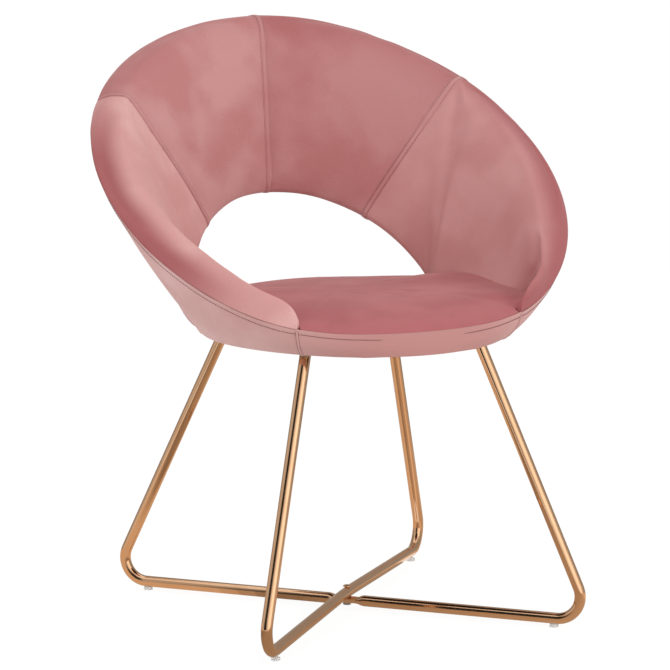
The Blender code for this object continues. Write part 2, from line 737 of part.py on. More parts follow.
def cross_point():
    return crossing(rail_ends("lower"), rail_ends("upper"))


def cross_lift():
    """Rise of the upper rail's axis where it lies on the pinched lower rail."""
    return PINCH_THICKNESS / 2 + GAP + TUBE / 2


def leg_top(which_foot):
    corner, top = feet()[which_foot]
    axis = (top - corner).normalized()
    return corner + axis * ((LEG_END - corner.z) / axis.z), axis


def frame_path(which):
    """Axis points of one frame: down a leg, round the bend, along the rail and up again."""
    names = RAILS[which]
    middle = cross_point()
    path = []
    for order, name in enumerate(names):
        corner, _ = feet()[name]
        top, axis = leg_top(name)
        lift = cross_lift() if which == "upper" else 0.0
        aim = middle + Vector((0, 0, lift))
        run = (aim - corner).normalized()
        turn = pi - axis.angle(run)
        reach = BEND_RADIUS * tan(turn / 2)
        side = (axis + run).normalized()
        centre = corner + side * (BEND_RADIUS / cos(turn / 2))
        start = corner + axis * reach
        spoke = start - centre
        swing_axis = spoke.cross(-axis).normalized()
        bend = [centre + Matrix.Rotation(turn * i / 7, 3, swing_axis) @ spoke for i in range(8)]
        length = (aim - corner).length
        stops = rail_stops(which)
        rail = [corner + run * (length - s) for s in stops]
        half = [top] + bend + rail
        if which == "upper":
            half = [p - Vector((0, 0, soften(middle, p))) for p in half]
        path += half if order == 0 else half[::-1]
        if order == 0:
            path.append(aim - Vector((0, 0, soften(middle, aim) if which == "upper" else 0)))
    return path


def soften(middle, point):
    """How much the upper rail's kink at the crossing is rounded down."""
    distance = hypot(point.x - middle.x, point.y - middle.y)
    slope = cross_lift() / (rail_ends("upper")[0] - middle).to_2d().length
    if distance >= CROSS_BEND:
        return 0.0
    return -slope * (CROSS_BEND - distance) ** 2 / (2 * CROSS_BEND)


def rail_stops(which):
    """Distances from the crossing at which the rail gets a ring, farthest first."""
    if which == "lower":
        inner = [PINCH_HALF_LENGTH + PINCH_RUNOUT * t for t in (1.0, 0.8, 0.6, 0.4, 0.2, 0.0)]
        return inner
    return [CROSS_BEND, CROSS_BEND * 0.75, CROSS_BEND * 0.5, CROSS_BEND * 0.25]


def tube_ring(path, index, top_axis=None):
    """Round section of the tube at one axis point, square to the path."""
    here = path[index]
    before, after = path[max(0, index - 1)], path[min(len(path) - 1, index + 1)]
    along = (after - before).normalized()
    across = along.cross(Vector((0, 0, 1))).normalized()
    up = across.cross(along).normalized()
    ring = []
    for i in range(TUBE_SIDES):
        turn = 2 * pi * (i + 0.5) / TUBE_SIDES
        ring.append(here + (across * cos(turn) + up * sin(turn)) * TUBE / 2)
    if top_axis is not None:
        ring = [p + top_axis * ((LEG_END - p.z) / top_axis.z) for p in ring]
    return ring


def pinch(points, middle, rail_direction):
    """Press the lower rail flat near the crossing, and let it spread sideways."""
    across = rail_direction.cross(Vector((0, 0, 1))).normalized()
    pressed = []
    for p in points:
        offset = p - middle
        distance = abs(offset.dot(rail_direction))
        share = 1 - ease(distance, PINCH_HALF_LENGTH, PINCH_HALF_LENGTH + PINCH_RUNOUT)
        height, sideways = offset.z, offset.dot(across)
        flat = max(-PINCH_THICKNESS / 2, min(PINCH_THICKNESS / 2, height * 1.6))
        wide = sideways * PINCH_WIDTH / TUBE
        lift = Vector((0, 0, (flat - height) * share))
        pressed.append(p + lift + across * (wide - sideways) * share)
    return pressed


def make_frame(which):
    path = frame_path(which)
    first, last = (leg_top(name)[1] for name in RAILS[which])
    rings = []
    for i in range(len(path)):
        axis = first if i == 0 else last if i == len(path) - 1 else None
        rings.append(tube_ring(path, i, axis))
    if which == "lower":
        a, b = rail_ends("lower")
        rail_direction = (b - a).normalized()
        middle = cross_point()
        near = [i for i, p in enumerate(path) if (p - middle).length < 0.1]
        for i in near:
            rings[i] = pinch(rings[i], middle, rail_direction)
    piece = loft(f"leg_frame_{which}", aligned(rings), "copper_plate", 50)
    drill = cylinder_profile(CROSS_BOLT / 2 + SCREW_CLEARANCE, -0.02, 0.03)
    cut(piece, cutter(f"cross_hole_{which}", drill, [Matrix.Translation(cross_point())]))
    sockets = cylinder_profile(GLIDE_STEM / 2 + GAP, -TUBE, glide_stem_top() - RAIL_HEIGHT + GAP)
    spots = [Matrix.Translation((x, y, RAIL_HEIGHT)) for x, y in
             (glide_place(name) for name in RAILS[which])]
    cut(piece, cutter(f"glide_sockets_{which}", sockets, spots))
    return piece


def aligned(rings):
    """Start every ring at the point nearest to the last ring's start."""
    result = [rings[0]]
    for ring in rings[1:]:
        options = [ring, ring[::-1]]
        best = None
        for option in options:
            for shift in range(len(option)):
                turned_ring = option[shift:] + option[:shift]
                error = sum((p - q).length for p, q in zip(turned_ring, result[-1]))
                if best is None or error < best[0]:
                    best = (error, turned_ring)
        result.append(best[1])
    return result


# ---------------------------------------------------------------- hardware
def glide_place(name):
    corner = feet()[name][0]
    aim = cross_point() - corner
    spot = corner + aim.normalized() * GLIDE_ALONG_RAIL
    return spot.x, spot.y


def rail_height_at_glide(name):
    """Axis height of the rail over a glide; the upper rail has begun to rise there."""
    if name not in RAILS["upper"]:
        return RAIL_HEIGHT
    corner = feet()[name][0]
    length = (cross_point() - corner).length
    return RAIL_HEIGHT + cross_lift() * GLIDE_ALONG_RAIL / length


def glide_stem_top():
    return RAIL_HEIGHT - TUBE / 2 + GLIDE_STEM_LENGTH


def make_glides():
    """Clear plastic feet with a stem that plugs into the rail."""
    for name in feet():
        x, y = glide_place(name)
        under = rail_height_at_glide(name) - TUBE / 2 - GAP
        r, stem = GLIDE / 2, GLIDE_STEM / 2
        profile = [(0, 0), (r - 0.0008, 0), (r, 0.0008), (r, under), (stem, under),
                   (stem, glide_stem_top()), (0, glide_stem_top())]
        turned(f"glide_{name}", profile, "clear_plastic", 16, Matrix.Translation((x, y, 0)))


def plate_turn(name):
    """Plates lie square to their own frame."""
    corner = feet()[name][0]
    return atan2(corner.y, corner.x) + pi / 2


def screw_places():
    spots = []
    for name in feet():
        top, _ = leg_top(name)
        turn = plate_turn(name)
        for side in (-1, 1):
            reach = side * SCREW_SPACING / 2
            spots.append((top.x + reach * cos(turn), top.y + reach * sin(turn)))
    return spots


def make_plates():
    """Steel plates welded on the leg ends, each with two clearance holes and round corners."""
    holes = cutter("plate_holes",
                   cylinder_profile(SCREW / 2 + SCREW_CLEARANCE, PLATE_TOP - PLATE - 0.001,
                                    PLATE_TOP + 0.001),
                   [Matrix.Translation((x, y, 0)) for x, y in screw_places()], FASTENER_SIDES)
    for name in feet():
        top, _ = leg_top(name)
        bm = bmesh.new()
        size = Matrix.Diagonal((PLATE_LENGTH, PLATE_WIDTH, PLATE, 1))
        bmesh.ops.create_cube(bm, size=1, matrix=size)
        upright = [e for e in bm.edges if abs((e.verts[0].co - e.verts[1].co).z) > PLATE / 2]
        bmesh.ops.bevel(bm, geom=upright, offset=PLATE_CORNER, segments=4, profile=0.5,
                        affect="EDGES", material=-1)
        place_here = Matrix.Translation((top.x, top.y, PLATE_TOP - PLATE / 2))
        bmesh.ops.transform(bm, matrix=place_here @ Matrix.Rotation(plate_turn(name), 4, "Z"),
                            verts=bm.verts)
        cut(new_object(f"leg_plate_{name}", bm, "zinc_steel", 30), holes)


def make_screws():
    """Pan-head screws with a hexagon socket, up through plate and cloth into the board."""
    tip = BASE_HEIGHT + BOARD - SCREW_COVERED
    under = PLATE_TOP - PLATE - GAP
    r, head = SCREW / 2, SCREW_HEAD / 2
    socket = SOCKET_ACROSS / 2
    low = under - SCREW_HEAD_HEIGHT
    profile = [(0, low + SOCKET_DEPTH), (socket, low + SOCKET_DEPTH), (socket, low),
               (head - 0.001, low), (head, low + 0.001), (head, under), (r, under),
               (r, tip - 0.002), (0, tip)]
    for index, (x, y) in enumerate(screw_places()):
        name = f"{list(feet())[index // 2]}_{index % 2 + 1}"
        turned(f"leg_screw_{name}", profile, "zinc_steel", FASTENER_SIDES,
               Matrix.Translation((x, y, 0)))


def make_cross_bolt():
    """Bolt through both rails, with a domed head above and a hexagon nut below."""
    here = cross_point()
    r = CROSS_BOLT / 2
    seat = cross_lift() + TUBE / 2 + GAP
    rise = CROSS_HEAD_HEIGHT
    dome = [(CROSS_HEAD / 2 * cos(t), seat + 0.0006 + (rise - 0.0006) * sin(t))
            for t in spread(0, pi / 2, 6)]
    nut_top = -PINCH_THICKNESS / 2 - GAP
    tip = nut_top - CROSS_NUT_HEIGHT
    profile = [(0, tip), (r, tip), (r, seat), (CROSS_HEAD / 2, seat)]
    profile += dome[:-1] + [(0, seat + rise)]
    turned("cross_bolt", profile, "copper_plate", 16, Matrix.Translation(here))
    bm = bmesh.new()
    nut_middle = here + Vector((0, 0, nut_top - CROSS_NUT_HEIGHT / 2))
    across_corners = CROSS_NUT / cos(pi / 6)
    bmesh.ops.create_cone(bm, cap_ends=True, segments=6, radius1=across_corners / 2,
                          radius2=across_corners / 2, depth=CROSS_NUT_HEIGHT,
                          matrix=Matrix.Translation(nut_middle))
    nut = new_object("cross_nut", bm, "zinc_steel", 30)
    bore = cylinder_profile(r + GAP, -0.02, 0)
    cut(nut, cutter("cross_nut_bore", bore, [Matrix.Translation(here)]))


# ---------------------------------------------------------------- the whole chair
def centre_offset():
    """Shift along Y that puts the origin under the middle of the whole chair."""
    front = min(p.y for which in RAILS for p in frame_path(which)) - TUBE / 2
    return -(front + rim(pi).x) / 2


for old in list(bpy.data.objects):
    bpy.data.objects.remove(old)

CHAIR = bpy.data.objects.new("armchair", None)
bpy.context.scene.collection.objects.link(CHAIR)
CHAIR.location = (0, centre_offset(), 0)

make_frame("lower")
make_frame("upper")
make_cross_bolt()
make_glides()
make_plates()
make_screws()
make_board()
make_dust_cover()
make_plywood_shell()
make_pads()
make_outer_covers()
make_bands()
make_seat_cushion()
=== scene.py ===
"""Looks for the upholstered armchair: velvet pads, felled seams, plated tube frames, studio.

Every soft piece starts as a copy of its solid in the frame and gets its roundness from
subdivision. The pads and the seat are then stuffed: their hollows are raised, and a short
cloth simulation swells them with the seams held still. The covers stay stretched tight.
"""

from math import atan2, cos, pi, radians, sin, sqrt

import bmesh
import bpy
from bpy.props import FloatProperty, PointerProperty, StringProperty
from mathutils import Matrix, Vector
from mathutils.bvhtree import BVHTree
from mathutils.kdtree import KDTree


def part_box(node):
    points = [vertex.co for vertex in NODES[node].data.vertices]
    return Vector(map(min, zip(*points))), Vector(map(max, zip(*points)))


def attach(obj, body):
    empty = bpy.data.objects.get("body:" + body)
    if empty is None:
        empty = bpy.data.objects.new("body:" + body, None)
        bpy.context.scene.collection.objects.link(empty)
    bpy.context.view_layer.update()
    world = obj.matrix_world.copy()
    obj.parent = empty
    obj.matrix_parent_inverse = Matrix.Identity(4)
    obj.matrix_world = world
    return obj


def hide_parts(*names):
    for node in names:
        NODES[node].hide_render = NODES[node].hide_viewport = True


bl_info = {
    "name": "Velvet tub armchair",
    "version": (1, 0, 0),
    "blender": (4, 5, 0),
    "location": "View3D > Sidebar > Armchair",
    "description": "Upholsters and plates the frame of a tub armchair with crossed tube legs",
    "category": "Add Mesh",
}

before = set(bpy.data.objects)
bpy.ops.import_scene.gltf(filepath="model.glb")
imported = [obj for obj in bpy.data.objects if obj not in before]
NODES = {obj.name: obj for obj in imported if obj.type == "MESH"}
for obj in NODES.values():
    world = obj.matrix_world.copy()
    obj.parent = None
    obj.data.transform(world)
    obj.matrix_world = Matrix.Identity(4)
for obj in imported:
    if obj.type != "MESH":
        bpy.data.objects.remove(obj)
MM = 0.001


# ---- where things are
RAILS_Y = sum(corner[1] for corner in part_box("cross_bolt")) / 2     # the floor rails cross here
RAIL_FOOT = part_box("leg_frame_lower")[0].z                          # underside of the rails
SEAT_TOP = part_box("seat_cushion")[1][2]
BASE_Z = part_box("seat_board")[0][2]

HARD_TURN = radians(52)         # an edge of a solid that turns more may be a seam
SHARP_TURN = radians(50)        # an edge of a hard piece that turns more is shaded sharp
TOUCHING = 3 * MM               # a seam has its neighbour nearer than this
SEAM_HOLD = 3.5 * MM            # how near a seam the cloth can't move
WELD = 0.001 * MM               # points nearer than this are one
CLOTH_FRAMES = 20
CLEAR = 0.3 * MM                # what the frame leaves between touching pieces
CROSS_HALF = 30 * MM            # the upper rail turns over this length at the crossing
RAIL_HALF = 0.36                # from the crossing to a frame's corner
PINCH_HALF, PINCH_RUNOUT = 11 * MM, 16 * MM
BOLT_SHANK, BOLT_HEAD_HEIGHT, BOLT_CHAMFER = 3 * MM, 2.8 * MM, 0.5 * MM
GLIDE_STEM, GLIDE_EDGE = 2.5 * MM, 0.9 * MM


def box_middle(node):
    low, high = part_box(node)
    return (low + high) / 2


def polar(p):
    """Angle round the chair from its front, towards its left arm, and distance."""
    y = p.y - RAILS_Y
    return atan2(p.x, -y), sqrt(p.x * p.x + y * y)


def outward(p):
    """Level direction from the chair's middle to a point."""
    return Vector((p.x, p.y - RAILS_Y, 0)).normalized()


def set_all(thing, **settings):
    """Set attributes of a thing and hand it back."""
    for key, value in settings.items():
        setattr(thing, key, value)
    return thing


def clamp(value, low=0.0, high=1.0):
    return max(low, min(high, value))


def ease(value, low, high):
    """A smooth step from 0 at low to 1 at high."""
    t = clamp((value - low) / (high - low))
    return t * t * (3 - 2 * t)


# ---- colours and nodes
def linear(hex_code):
    """An sRGB hex colour as linear RGBA."""
    parts = [int(hex_code.lstrip("#")[i:i + 2], 16) / 255 for i in (0, 2, 4)]
    return (*[c / 12.92 if c <= 0.04045 else ((c + 0.055) / 1.055) ** 2.4 for c in parts], 1.0)


def add_node(tree, kind, settings=None, links=None):
    """A node with its settings, and its inputs set to values or linked from sockets."""
    made = set_all(tree.nodes.new(kind), **(settings or {}))
    for key, value in (links or {}).items():
        if isinstance(value, bpy.types.NodeSocket):
            tree.links.new(value, made.inputs[key])
        else:
            made.inputs[key].default_value = value
    return made


def material(name, recipe, *facts):
    """The material of that name; its recipe makes the shader when it is first asked for."""
    made = bpy.data.materials.get(name)
    if made is None:
        made = bpy.data.materials.new(name)
        made.use_nodes = True
        tree = made.node_tree
        tree.nodes.clear()
        add_node(tree, "ShaderNodeOutputMaterial", links={
            "Surface": recipe(tree, *facts).outputs[0]})
    return made


def velvet(tree, toward, away, rolled_shade):
    """Short cut-pile polyester velvet, woven and brushed.

    toward and away are its two colours, mixed in random patches; each part gets a lighter or
    darker pair, painted shade and sheen of one fabric. The third colour is painted shade, mixed
    in where the mesh marks it, at rolled edges and the front's middle.
    """
    place = add_node(tree, "ShaderNodeTexCoord").outputs["Object"]
    # hands and brushing leave soft patches 60 to 150 mm across
    patches = add_node(tree, "ShaderNodeTexNoise", links={
        "Vector": place, "Scale": 9.0, "Detail": 2.5, "Roughness": 0.55})
    swipe = add_node(tree, "ShaderNodeMapRange", {"interpolation_type": "SMOOTHSTEP"}, {
        "Value": patches.outputs["Fac"], "From Min": 0.36, "From Max": 0.64})
    # tufts of pile, drawn 2.5 mm across, coarser than the real 0.4 mm so that they show
    tufts = add_node(tree, "ShaderNodeTexNoise", links={
        "Vector": place, "Scale": 400.0, "Detail": 2.0, "Roughness": 0.6})
    grain = add_node(tree, "ShaderNodeMapRange", links={
        "Value": tufts.outputs["Fac"], "From Min": 0.3, "From Max": 0.7,
        "To Min": -0.18, "To Max": 0.18})
    lean = add_node(tree, "ShaderNodeMath", {"operation": "ADD", "use_clamp": True}, {
        0: swipe.outputs["Result"], 1: grain.outputs["Result"]})
    flat = add_node(tree, "ShaderNodeMix", {"data_type": "RGBA"}, {
        0: lean.outputs[0], 6: linear(away), 7: linear(toward)})
    # painted shade mask: how far the colour goes to the darker third colour
    over = add_node(tree, "ShaderNodeAttribute", {"attribute_name": "painted_shade"})
    colour = add_node(tree, "ShaderNodeMix", {"data_type": "RGBA"}, {
        0: over.outputs["Fac"], 6: flat.outputs[2], 7: linear(rolled_shade)})
    nap = add_node(tree, "ShaderNodeBump", links={
        "Strength": 0.25, "Distance": 0.4 * MM, "Height": tufts.outputs["Fac"]})
    return add_node(tree, "ShaderNodeBsdfPrincipled", links={
        "Base Color": colour.outputs[2], "Roughness": 0.9, "Specular IOR Level": 0.12,
        "Sheen Weight": 0.25, "Sheen Roughness": 0.45, "Sheen Tint": linear("#FFE4E0"),
        "Normal": nap.outputs["Normal"]})


def thread(tree, colour):
    """Bonded polyester sewing thread, two plies twisted, drawn with a turn each 3 mm."""
    place = add_node(tree, "ShaderNodeTexCoord").outputs["Object"]
    twist = add_node(tree, "ShaderNodeTexWave", {"bands_direction": "DIAGONAL"}, {
        "Vector": place, "Scale": 320.0, "Distortion": 0.5})
    bump = add_node(tree, "ShaderNodeBump", links={
        "Strength": 0.4, "Distance": 0.1 * MM, "Height": twist.outputs["Fac"]})
    return add_node(tree, "ShaderNodeBsdfPrincipled", links={
        "Base Color": linear(colour), "Roughness": 0.7, "Sheen Weight": 0.2,
        "Normal": bump.outputs["Normal"]})


def plated_steel(tree, bright, worn, roughness):
    """Polished steel tube under rose-gold plating and clear lacquer.

    Polishing leaves the faintest waviness, 45 mm long, and the plating a 1.1 mm mottle.
    """
    place = add_node(tree, "ShaderNodeTexCoord").outputs["Object"]
    clouds = add_node(tree, "ShaderNodeTexNoise", links={
        "Vector": place, "Scale": 22.0, "Detail": 3.0})
    tone = add_node(tree, "ShaderNodeMix", {"data_type": "RGBA"}, {
        0: clouds.outputs["Fac"], 6: linear(bright), 7: linear(worn)})
    fine = add_node(tree, "ShaderNodeTexNoise", links={
        "Vector": place, "Scale": 900.0, "Detail": 1.0})
    gloss = add_node(tree, "ShaderNodeMapRange", links={
        "Value": fine.outputs["Fac"], "To Min": roughness * 0.75, "To Max": roughness * 1.25})
    wavy = add_node(tree, "ShaderNodeBump", links={
        "Strength": 0.05, "Distance": 0.05 * MM, "Height": clouds.outputs["Fac"]})
    return add_node(tree, "ShaderNodeBsdfPrincipled", links={
        "Base Color": tone.outputs[2], "Metallic": 1.0, "Roughness": gloss.outputs["Result"],
        "Normal": wavy.outputs["Normal"]})


def cloudy(tree, colour, scale, detail, smooth, rough, inputs):
    """A plain colour with its gloss uneven in soft patches."""
    place = add_node(tree, "ShaderNodeTexCoord").outputs["Object"]
    clouds = add_node(tree, "ShaderNodeTexNoise", links={
        "Vector": place, "Scale": scale, "Detail": detail})
    gloss = add_node(tree, "ShaderNodeMapRange", links={
        "Value": clouds.outputs["Fac"], "To Min": smooth, "To Max": rough})
    return add_node(tree, "ShaderNodeBsdfPrincipled", links={
        "Base Color": linear(colour), "Roughness": gloss.outputs["Result"], **inputs})


def zinc_plate(tree, colour):
    """Barrel-plated zinc on steel: grey, satin, cloudy in patches of 6 mm."""
    return cloudy(tree, colour, 160.0, 3.0, 0.28, 0.5, {"Metallic": 1.0})


def birch_plywood(tree, light, dark):
    """Rotary-cut birch: long wandering grain on the face, thin plies on the edge."""
    place = add_node(tree, "ShaderNodeTexCoord").outputs["Object"]
    along = add_node(tree, "ShaderNodeMapping", links={
        "Vector": place, "Scale": (6.0, 60.0, 60.0)})
    figure = add_node(tree, "ShaderNodeTexNoise", links={
        "Vector": along.outputs["Vector"], "Scale": 1.6, "Detail": 5.0, "Distortion": 0.6})
    # the figure runs 100 mm along the grain and 10 mm across; plies are 1.4 mm thick
    height = add_node(tree, "ShaderNodeSeparateXYZ", links={"Vector": place})
    count = add_node(tree, "ShaderNodeMath", {"operation": "MULTIPLY"}, {
        0: height.outputs["Z"], 1: pi / (1.4 * MM)})
    plies = add_node(tree, "ShaderNodeMath", {"operation": "SINE"}, {0: count.outputs[0]})
    both = add_node(tree, "ShaderNodeMath", {"operation": "MULTIPLY_ADD", "use_clamp": True}, {
        0: plies.outputs[0], 1: 0.12, 2: figure.outputs["Fac"]})
    colour = add_node(tree, "ShaderNodeMix", {"data_type": "RGBA"}, {
        0: both.outputs[0], 6: linear(dark), 7: linear(light)})
    return add_node(tree, "ShaderNodeBsdfPrincipled", links={
        "Base Color": colour.outputs[2], "Roughness": 0.62})


def spunbond(tree, colour):
    """Black spunbonded polypropylene: matt, point-bonded in a 1.6 mm grid."""
    place = add_node(tree, "ShaderNodeTexCoord").outputs["Object"]
    bonds = add_node(tree, "ShaderNodeTexVoronoi", {"feature": "F1"}, {
        "Vector": place, "Scale": 620.0, "Randomness": 0.25})
    bump = add_node(tree, "ShaderNodeBump", links={
        "Strength": 0.5, "Distance": 0.2 * MM, "Height": bonds.outputs["Distance"]})
    return add_node(tree, "ShaderNodeBsdfPrincipled", links={
        "Base Color": linear(colour), "Roughness": 0.85, "Normal": bump.outputs["Normal"]})


def moulded_clear(tree, colour):
    """Injection-moulded clear polypropylene, milky, its gloss uneven over 4 mm."""
    return cloudy(tree, colour, 240.0, 2.0, 0.12, 0.3,
                  {"IOR": 1.49, "Transmission Weight": 0.45})


# ---- meshes
def merged_copy(node):
    """The node's solid with its loose triangles joined up, as quads where they make them."""
    bm = bmesh.new()
    bm.from_mesh(NODES[node].data)
    bmesh.ops.remove_doubles(bm, verts=bm.verts, dist=0.01 * MM)
    bmesh.ops.join_triangles(bm, faces=bm.faces, angle_face_threshold=radians(50),
                             angle_shape_threshold=radians(120))
    bmesh.ops.recalc_face_normals(bm, faces=bm.faces)
    return bm


def new_object(name, data):
    made = bpy.data.objects.new(name, data)
    bpy.context.scene.collection.objects.link(made)
    return made


def evaluated(piece):
    """The object as its modifiers make it."""
    return piece.evaluated_get(bpy.context.evaluated_depsgraph_get())


def as_object(name, bm, finish):
    mesh = bpy.data.meshes.new(name)
    bm.to_mesh(mesh)
    bm.free()
    piece = new_object(name, mesh)
    mesh.materials.append(finish)
    mesh.shade_smooth()
    return piece


def bake(piece):
    """Replace the object's mesh by what its modifiers make of it."""
    mesh = bpy.data.meshes.new_from_object(evaluated(piece))
    piece.modifiers.clear()
    old, piece.data = piece.data, mesh
    mesh.name = piece.name
    bpy.data.meshes.remove(old)


def rounded(piece, levels, through=0):
    """Subdivide and keep the result.

    Subdivision shrinks a coarse skin. Each pass of through moves its vertices out by what
    they lost, until the fine skin passes through the places where they were.
    """
    finer = piece.modifiers.new("finer", "SUBSURF")
    finer.levels = finer.render_levels = levels
    finer.use_creases = True
    aim = [v.co.copy() for v in piece.data.vertices]
    for _ in range(through):
        seen = evaluated(piece).data.vertices
        lost = [goal - seen[i].co for i, goal in enumerate(aim)]
        for vertex, move in zip(piece.data.vertices, lost):
            vertex.co += move
        piece.data.update()
    bake(piece)


def crease(bm, keep=lambda edge: True):
    """Hold the edges that turn hard through a subdivision, and return them."""
    layer = bm.edges.layers.float.new("crease_edge")
    hard = [edge for edge in bm.edges if len(edge.link_faces) == 2
            and edge.calc_face_angle(0) > HARD_TURN and keep(edge)]
    for edge in hard:
        edge[layer] = 1.0
    return hard


def fill_out(piece, held, pressure, most):
    """Let the cover swell like sewn cloth over foam, its seams held, then cap the movement."""
    scene = bpy.context.scene
    mesh = piece.data
    before = [v.co.copy() for v in mesh.vertices]
    seams = piece.vertex_groups.new(name="seams")
    seams.add([v.index for v in mesh.vertices if held(v.co)], 1.0, "REPLACE")
    cloth = piece.modifiers.new("cloth", "CLOTH")
    cloth.settings.effector_weights.gravity = 0.0
    set_all(cloth.settings, use_pressure=True, uniform_pressure_force=pressure,
            vertex_group_mass="seams", tension_stiffness=25, compression_stiffness=25,
            bending_stiffness=2)
    cloth.point_cache.frame_start, cloth.point_cache.frame_end = 1, CLOTH_FRAMES
    for step in range(1, CLOTH_FRAMES + 1):
        scene.frame_set(step)
    bake(piece)
    scene.frame_set(1)
    for vertex, start in zip(piece.data.vertices, before):
        move = vertex.co - start
        if move.length > most:
            vertex.co = start + move.normalized() * most


def settle(piece, rounds, held):
    """Ease small ripples out of the free part of a skin."""
    bm = bmesh.new()
    bm.from_mesh(piece.data)
    free = [v for v in bm.verts if not held(v.co)]
    for _ in range(rounds):
        bmesh.ops.smooth_vert(bm, verts=free, factor=0.5, use_axis_x=True, use_axis_y=True,
                              use_axis_z=True)
    bm.to_mesh(piece.data)
    bm.free()


def fill_hollows(piece, rounds, held):
    """Raise the hollow places of a skin, as stuffing does, and leave its rolls as they are."""
    bm = bmesh.new()
    bm.from_mesh(piece.data)
    free = [v for v in bm.verts if not held(v.co)]
    for _ in range(rounds):
        bm.normal_update()
        moves = []
        for vert in free:
            ring = [edge.other_vert(vert).co for edge in vert.link_edges]
            pull = sum(ring, Vector()) / len(ring) - vert.co
            moves.append(pull * 0.5 if pull.dot(vert.normal) > 0 else None)
        for vert, move in zip(free, moves):
            if move:
                vert.co += move
    bm.to_mesh(piece.data)
    bm.free()


def evenly(points, step):
    """The same line with points one step apart."""
    marks = [0.0]
    for a, b in zip(points, points[1:]):
        marks.append(marks[-1] + (b - a).length)
    count = max(2, round(marks[-1] / step))
    result, i = [], 0
    for k in range(count + 1):
        want = marks[-1] * k / count
        while i < len(points) - 2 and marks[i + 1] < want:
            i += 1
        share = (want - marks[i]) / max(1e-9, marks[i + 1] - marks[i])
        result.append(points[i].lerp(points[i + 1], share))
    return result


def flowing(points, rounds, closed=False):
    """The same line with its corners eased; open ends stay."""
    points = list(points)
    for _ in range(rounds):
        before = points[:]
        for i in range(0 if closed else 1, len(points) - (0 if closed else 1)):
            after = before[(i + 1) % len(points)]
            points[i] = before[i] * 0.5 + (before[i - 1] + after) * 0.25
    return points


def closed_up(bm):
    """Join what touches and turn the faces outwards."""
    bmesh.ops.remove_doubles(bm, verts=bm.verts, dist=WELD)
    bmesh.ops.recalc_face_normals(bm, faces=bm.faces)


def swept(points, radius, sides_per_quarter):
    """A round bar along a line, its ends closed."""
    curve = bpy.data.curves.new("sweep", "CURVE")
    set_all(curve, dimensions="3D", bevel_depth=radius, bevel_resolution=sides_per_quarter - 1,
            use_fill_caps=True, twist_mode="MINIMUM")
    spline = curve.splines.new("POLY")
    spline.points.add(len(points) - 1)
    for point, place in zip(spline.points, points):
        point.co = (*place, 1.0)
    holder = new_object("sweep", curve)
    mesh = bpy.data.meshes.new_from_object(evaluated(holder))
    bm = bmesh.new()
    bm.from_mesh(mesh)
    closed_up(bm)
    bpy.data.objects.remove(holder)
    bpy.data.curves.remove(curve)
    bpy.data.meshes.remove(mesh)
    return bm


def skin_of(names):
    """One search tree over the surfaces of several of the frame's nodes or finished pieces."""
    points, faces = [], []
    for name in names:
        mesh = (NODES.get(name) or bpy.data.objects[name]).data
        start = len(points)
        points += [v.co.copy() for v in mesh.vertices]
        faces += [[start + i for i in face.vertices] for face in mesh.polygons]
    return BVHTree.FromPolygons(points, faces)


def nearby(points):
    """A search tree over points."""
    tree = KDTree(len(points))
    for i, p in enumerate(points):
        tree.insert(p, i)
    tree.balance()
    return tree


class Course:
    """A line laid on a skin: at each point its place, sideways and outward direction."""

    REACH = 8 * MM      # how far above and below the line the skin is looked for

    def __init__(self, points, skin, side, outs):
        self.points, self.sides, self.ups, self.skin = points, [], [], skin
        for i, out in enumerate(outs):
            before, after = points[max(0, i - 1)], points[min(len(points) - 1, i + 1)]
            along = (after - before).normalized()
            across = (side - along * side.dot(along)).normalized()
            up = across.cross(along).normalized()
            self.sides.append(across)
            self.ups.append(up if up.dot(out) > 0 else -up)
        self.ups = [up.normalized() for up in flowing(self.ups, 3)]

    def level(self, i, offset):
        """Height of the skin beside one point, or None where there is none."""
        start = self.at(i, offset, self.REACH)
        hit = self.skin.ray_cast(start, -self.ups[i], 2 * self.REACH)[0]
        return None if hit is None else (hit - self.points[i]).dot(self.ups[i])

    def levels(self, offsets):
        """Heights across a strip, bridging the seam in its middle and eased along it."""
        proud = 2 * MM      # the most that the middle may stand over the strip's edges
        rows = []
        for i in range(len(self.points)):
            found = [self.level(i, offset) for offset in offsets]
            ends = [height for height in (found[0], found[-1]) if height is not None] or [0.0]
            row = []
            for offset, height in zip(offsets, found):
                t = (offset - offsets[0]) / (offsets[-1] - offsets[0])
                straight = ends[0] + (ends[-1] - ends[0]) * t
                row.append(straight if height is None
                           else clamp(height, straight, straight + proud))
            rows.append(row)
        return list(zip(*(flowing(column, 4) for column in zip(*rows))))

    def at(self, i, offset, height):
        return self.points[i] + self.sides[i] * offset + self.ups[i] * height


def laid_strip(course, profile, thickness):
    """A thin strip of cloth on a course; profile is (offset across, height over the skin)."""
    offsets = [offset for offset, _ in profile]
    rows = course.levels(offsets)
    bm = bmesh.new()
    bmesh.ops.create_grid(bm, x_segments=len(offsets) - 1, y_segments=len(rows) - 1, size=1)
    ordered = sorted(bm.verts, key=lambda v: (round(v.co.y, 5), round(v.co.x, 5)))
    for k, vert in enumerate(ordered):
        i, j = divmod(k, len(offsets))
        vert.co = course.at(i, offsets[j], rows[i][j] + profile[j][1])
    bm.normal_update()
    middle = len(rows) // 2
    facing = [f for f in bm.faces
              if (f.calc_center_median() - course.points[middle]).length < 20 * MM]
    if sum(f.normal.dot(course.ups[middle]) for f in facing) < 0:
        bmesh.ops.reverse_faces(bm, faces=bm.faces)
    bmesh.ops.solidify(bm, geom=bm.faces[:], thickness=thickness)
    bmesh.ops.recalc_face_normals(bm, faces=bm.faces)
    return bm


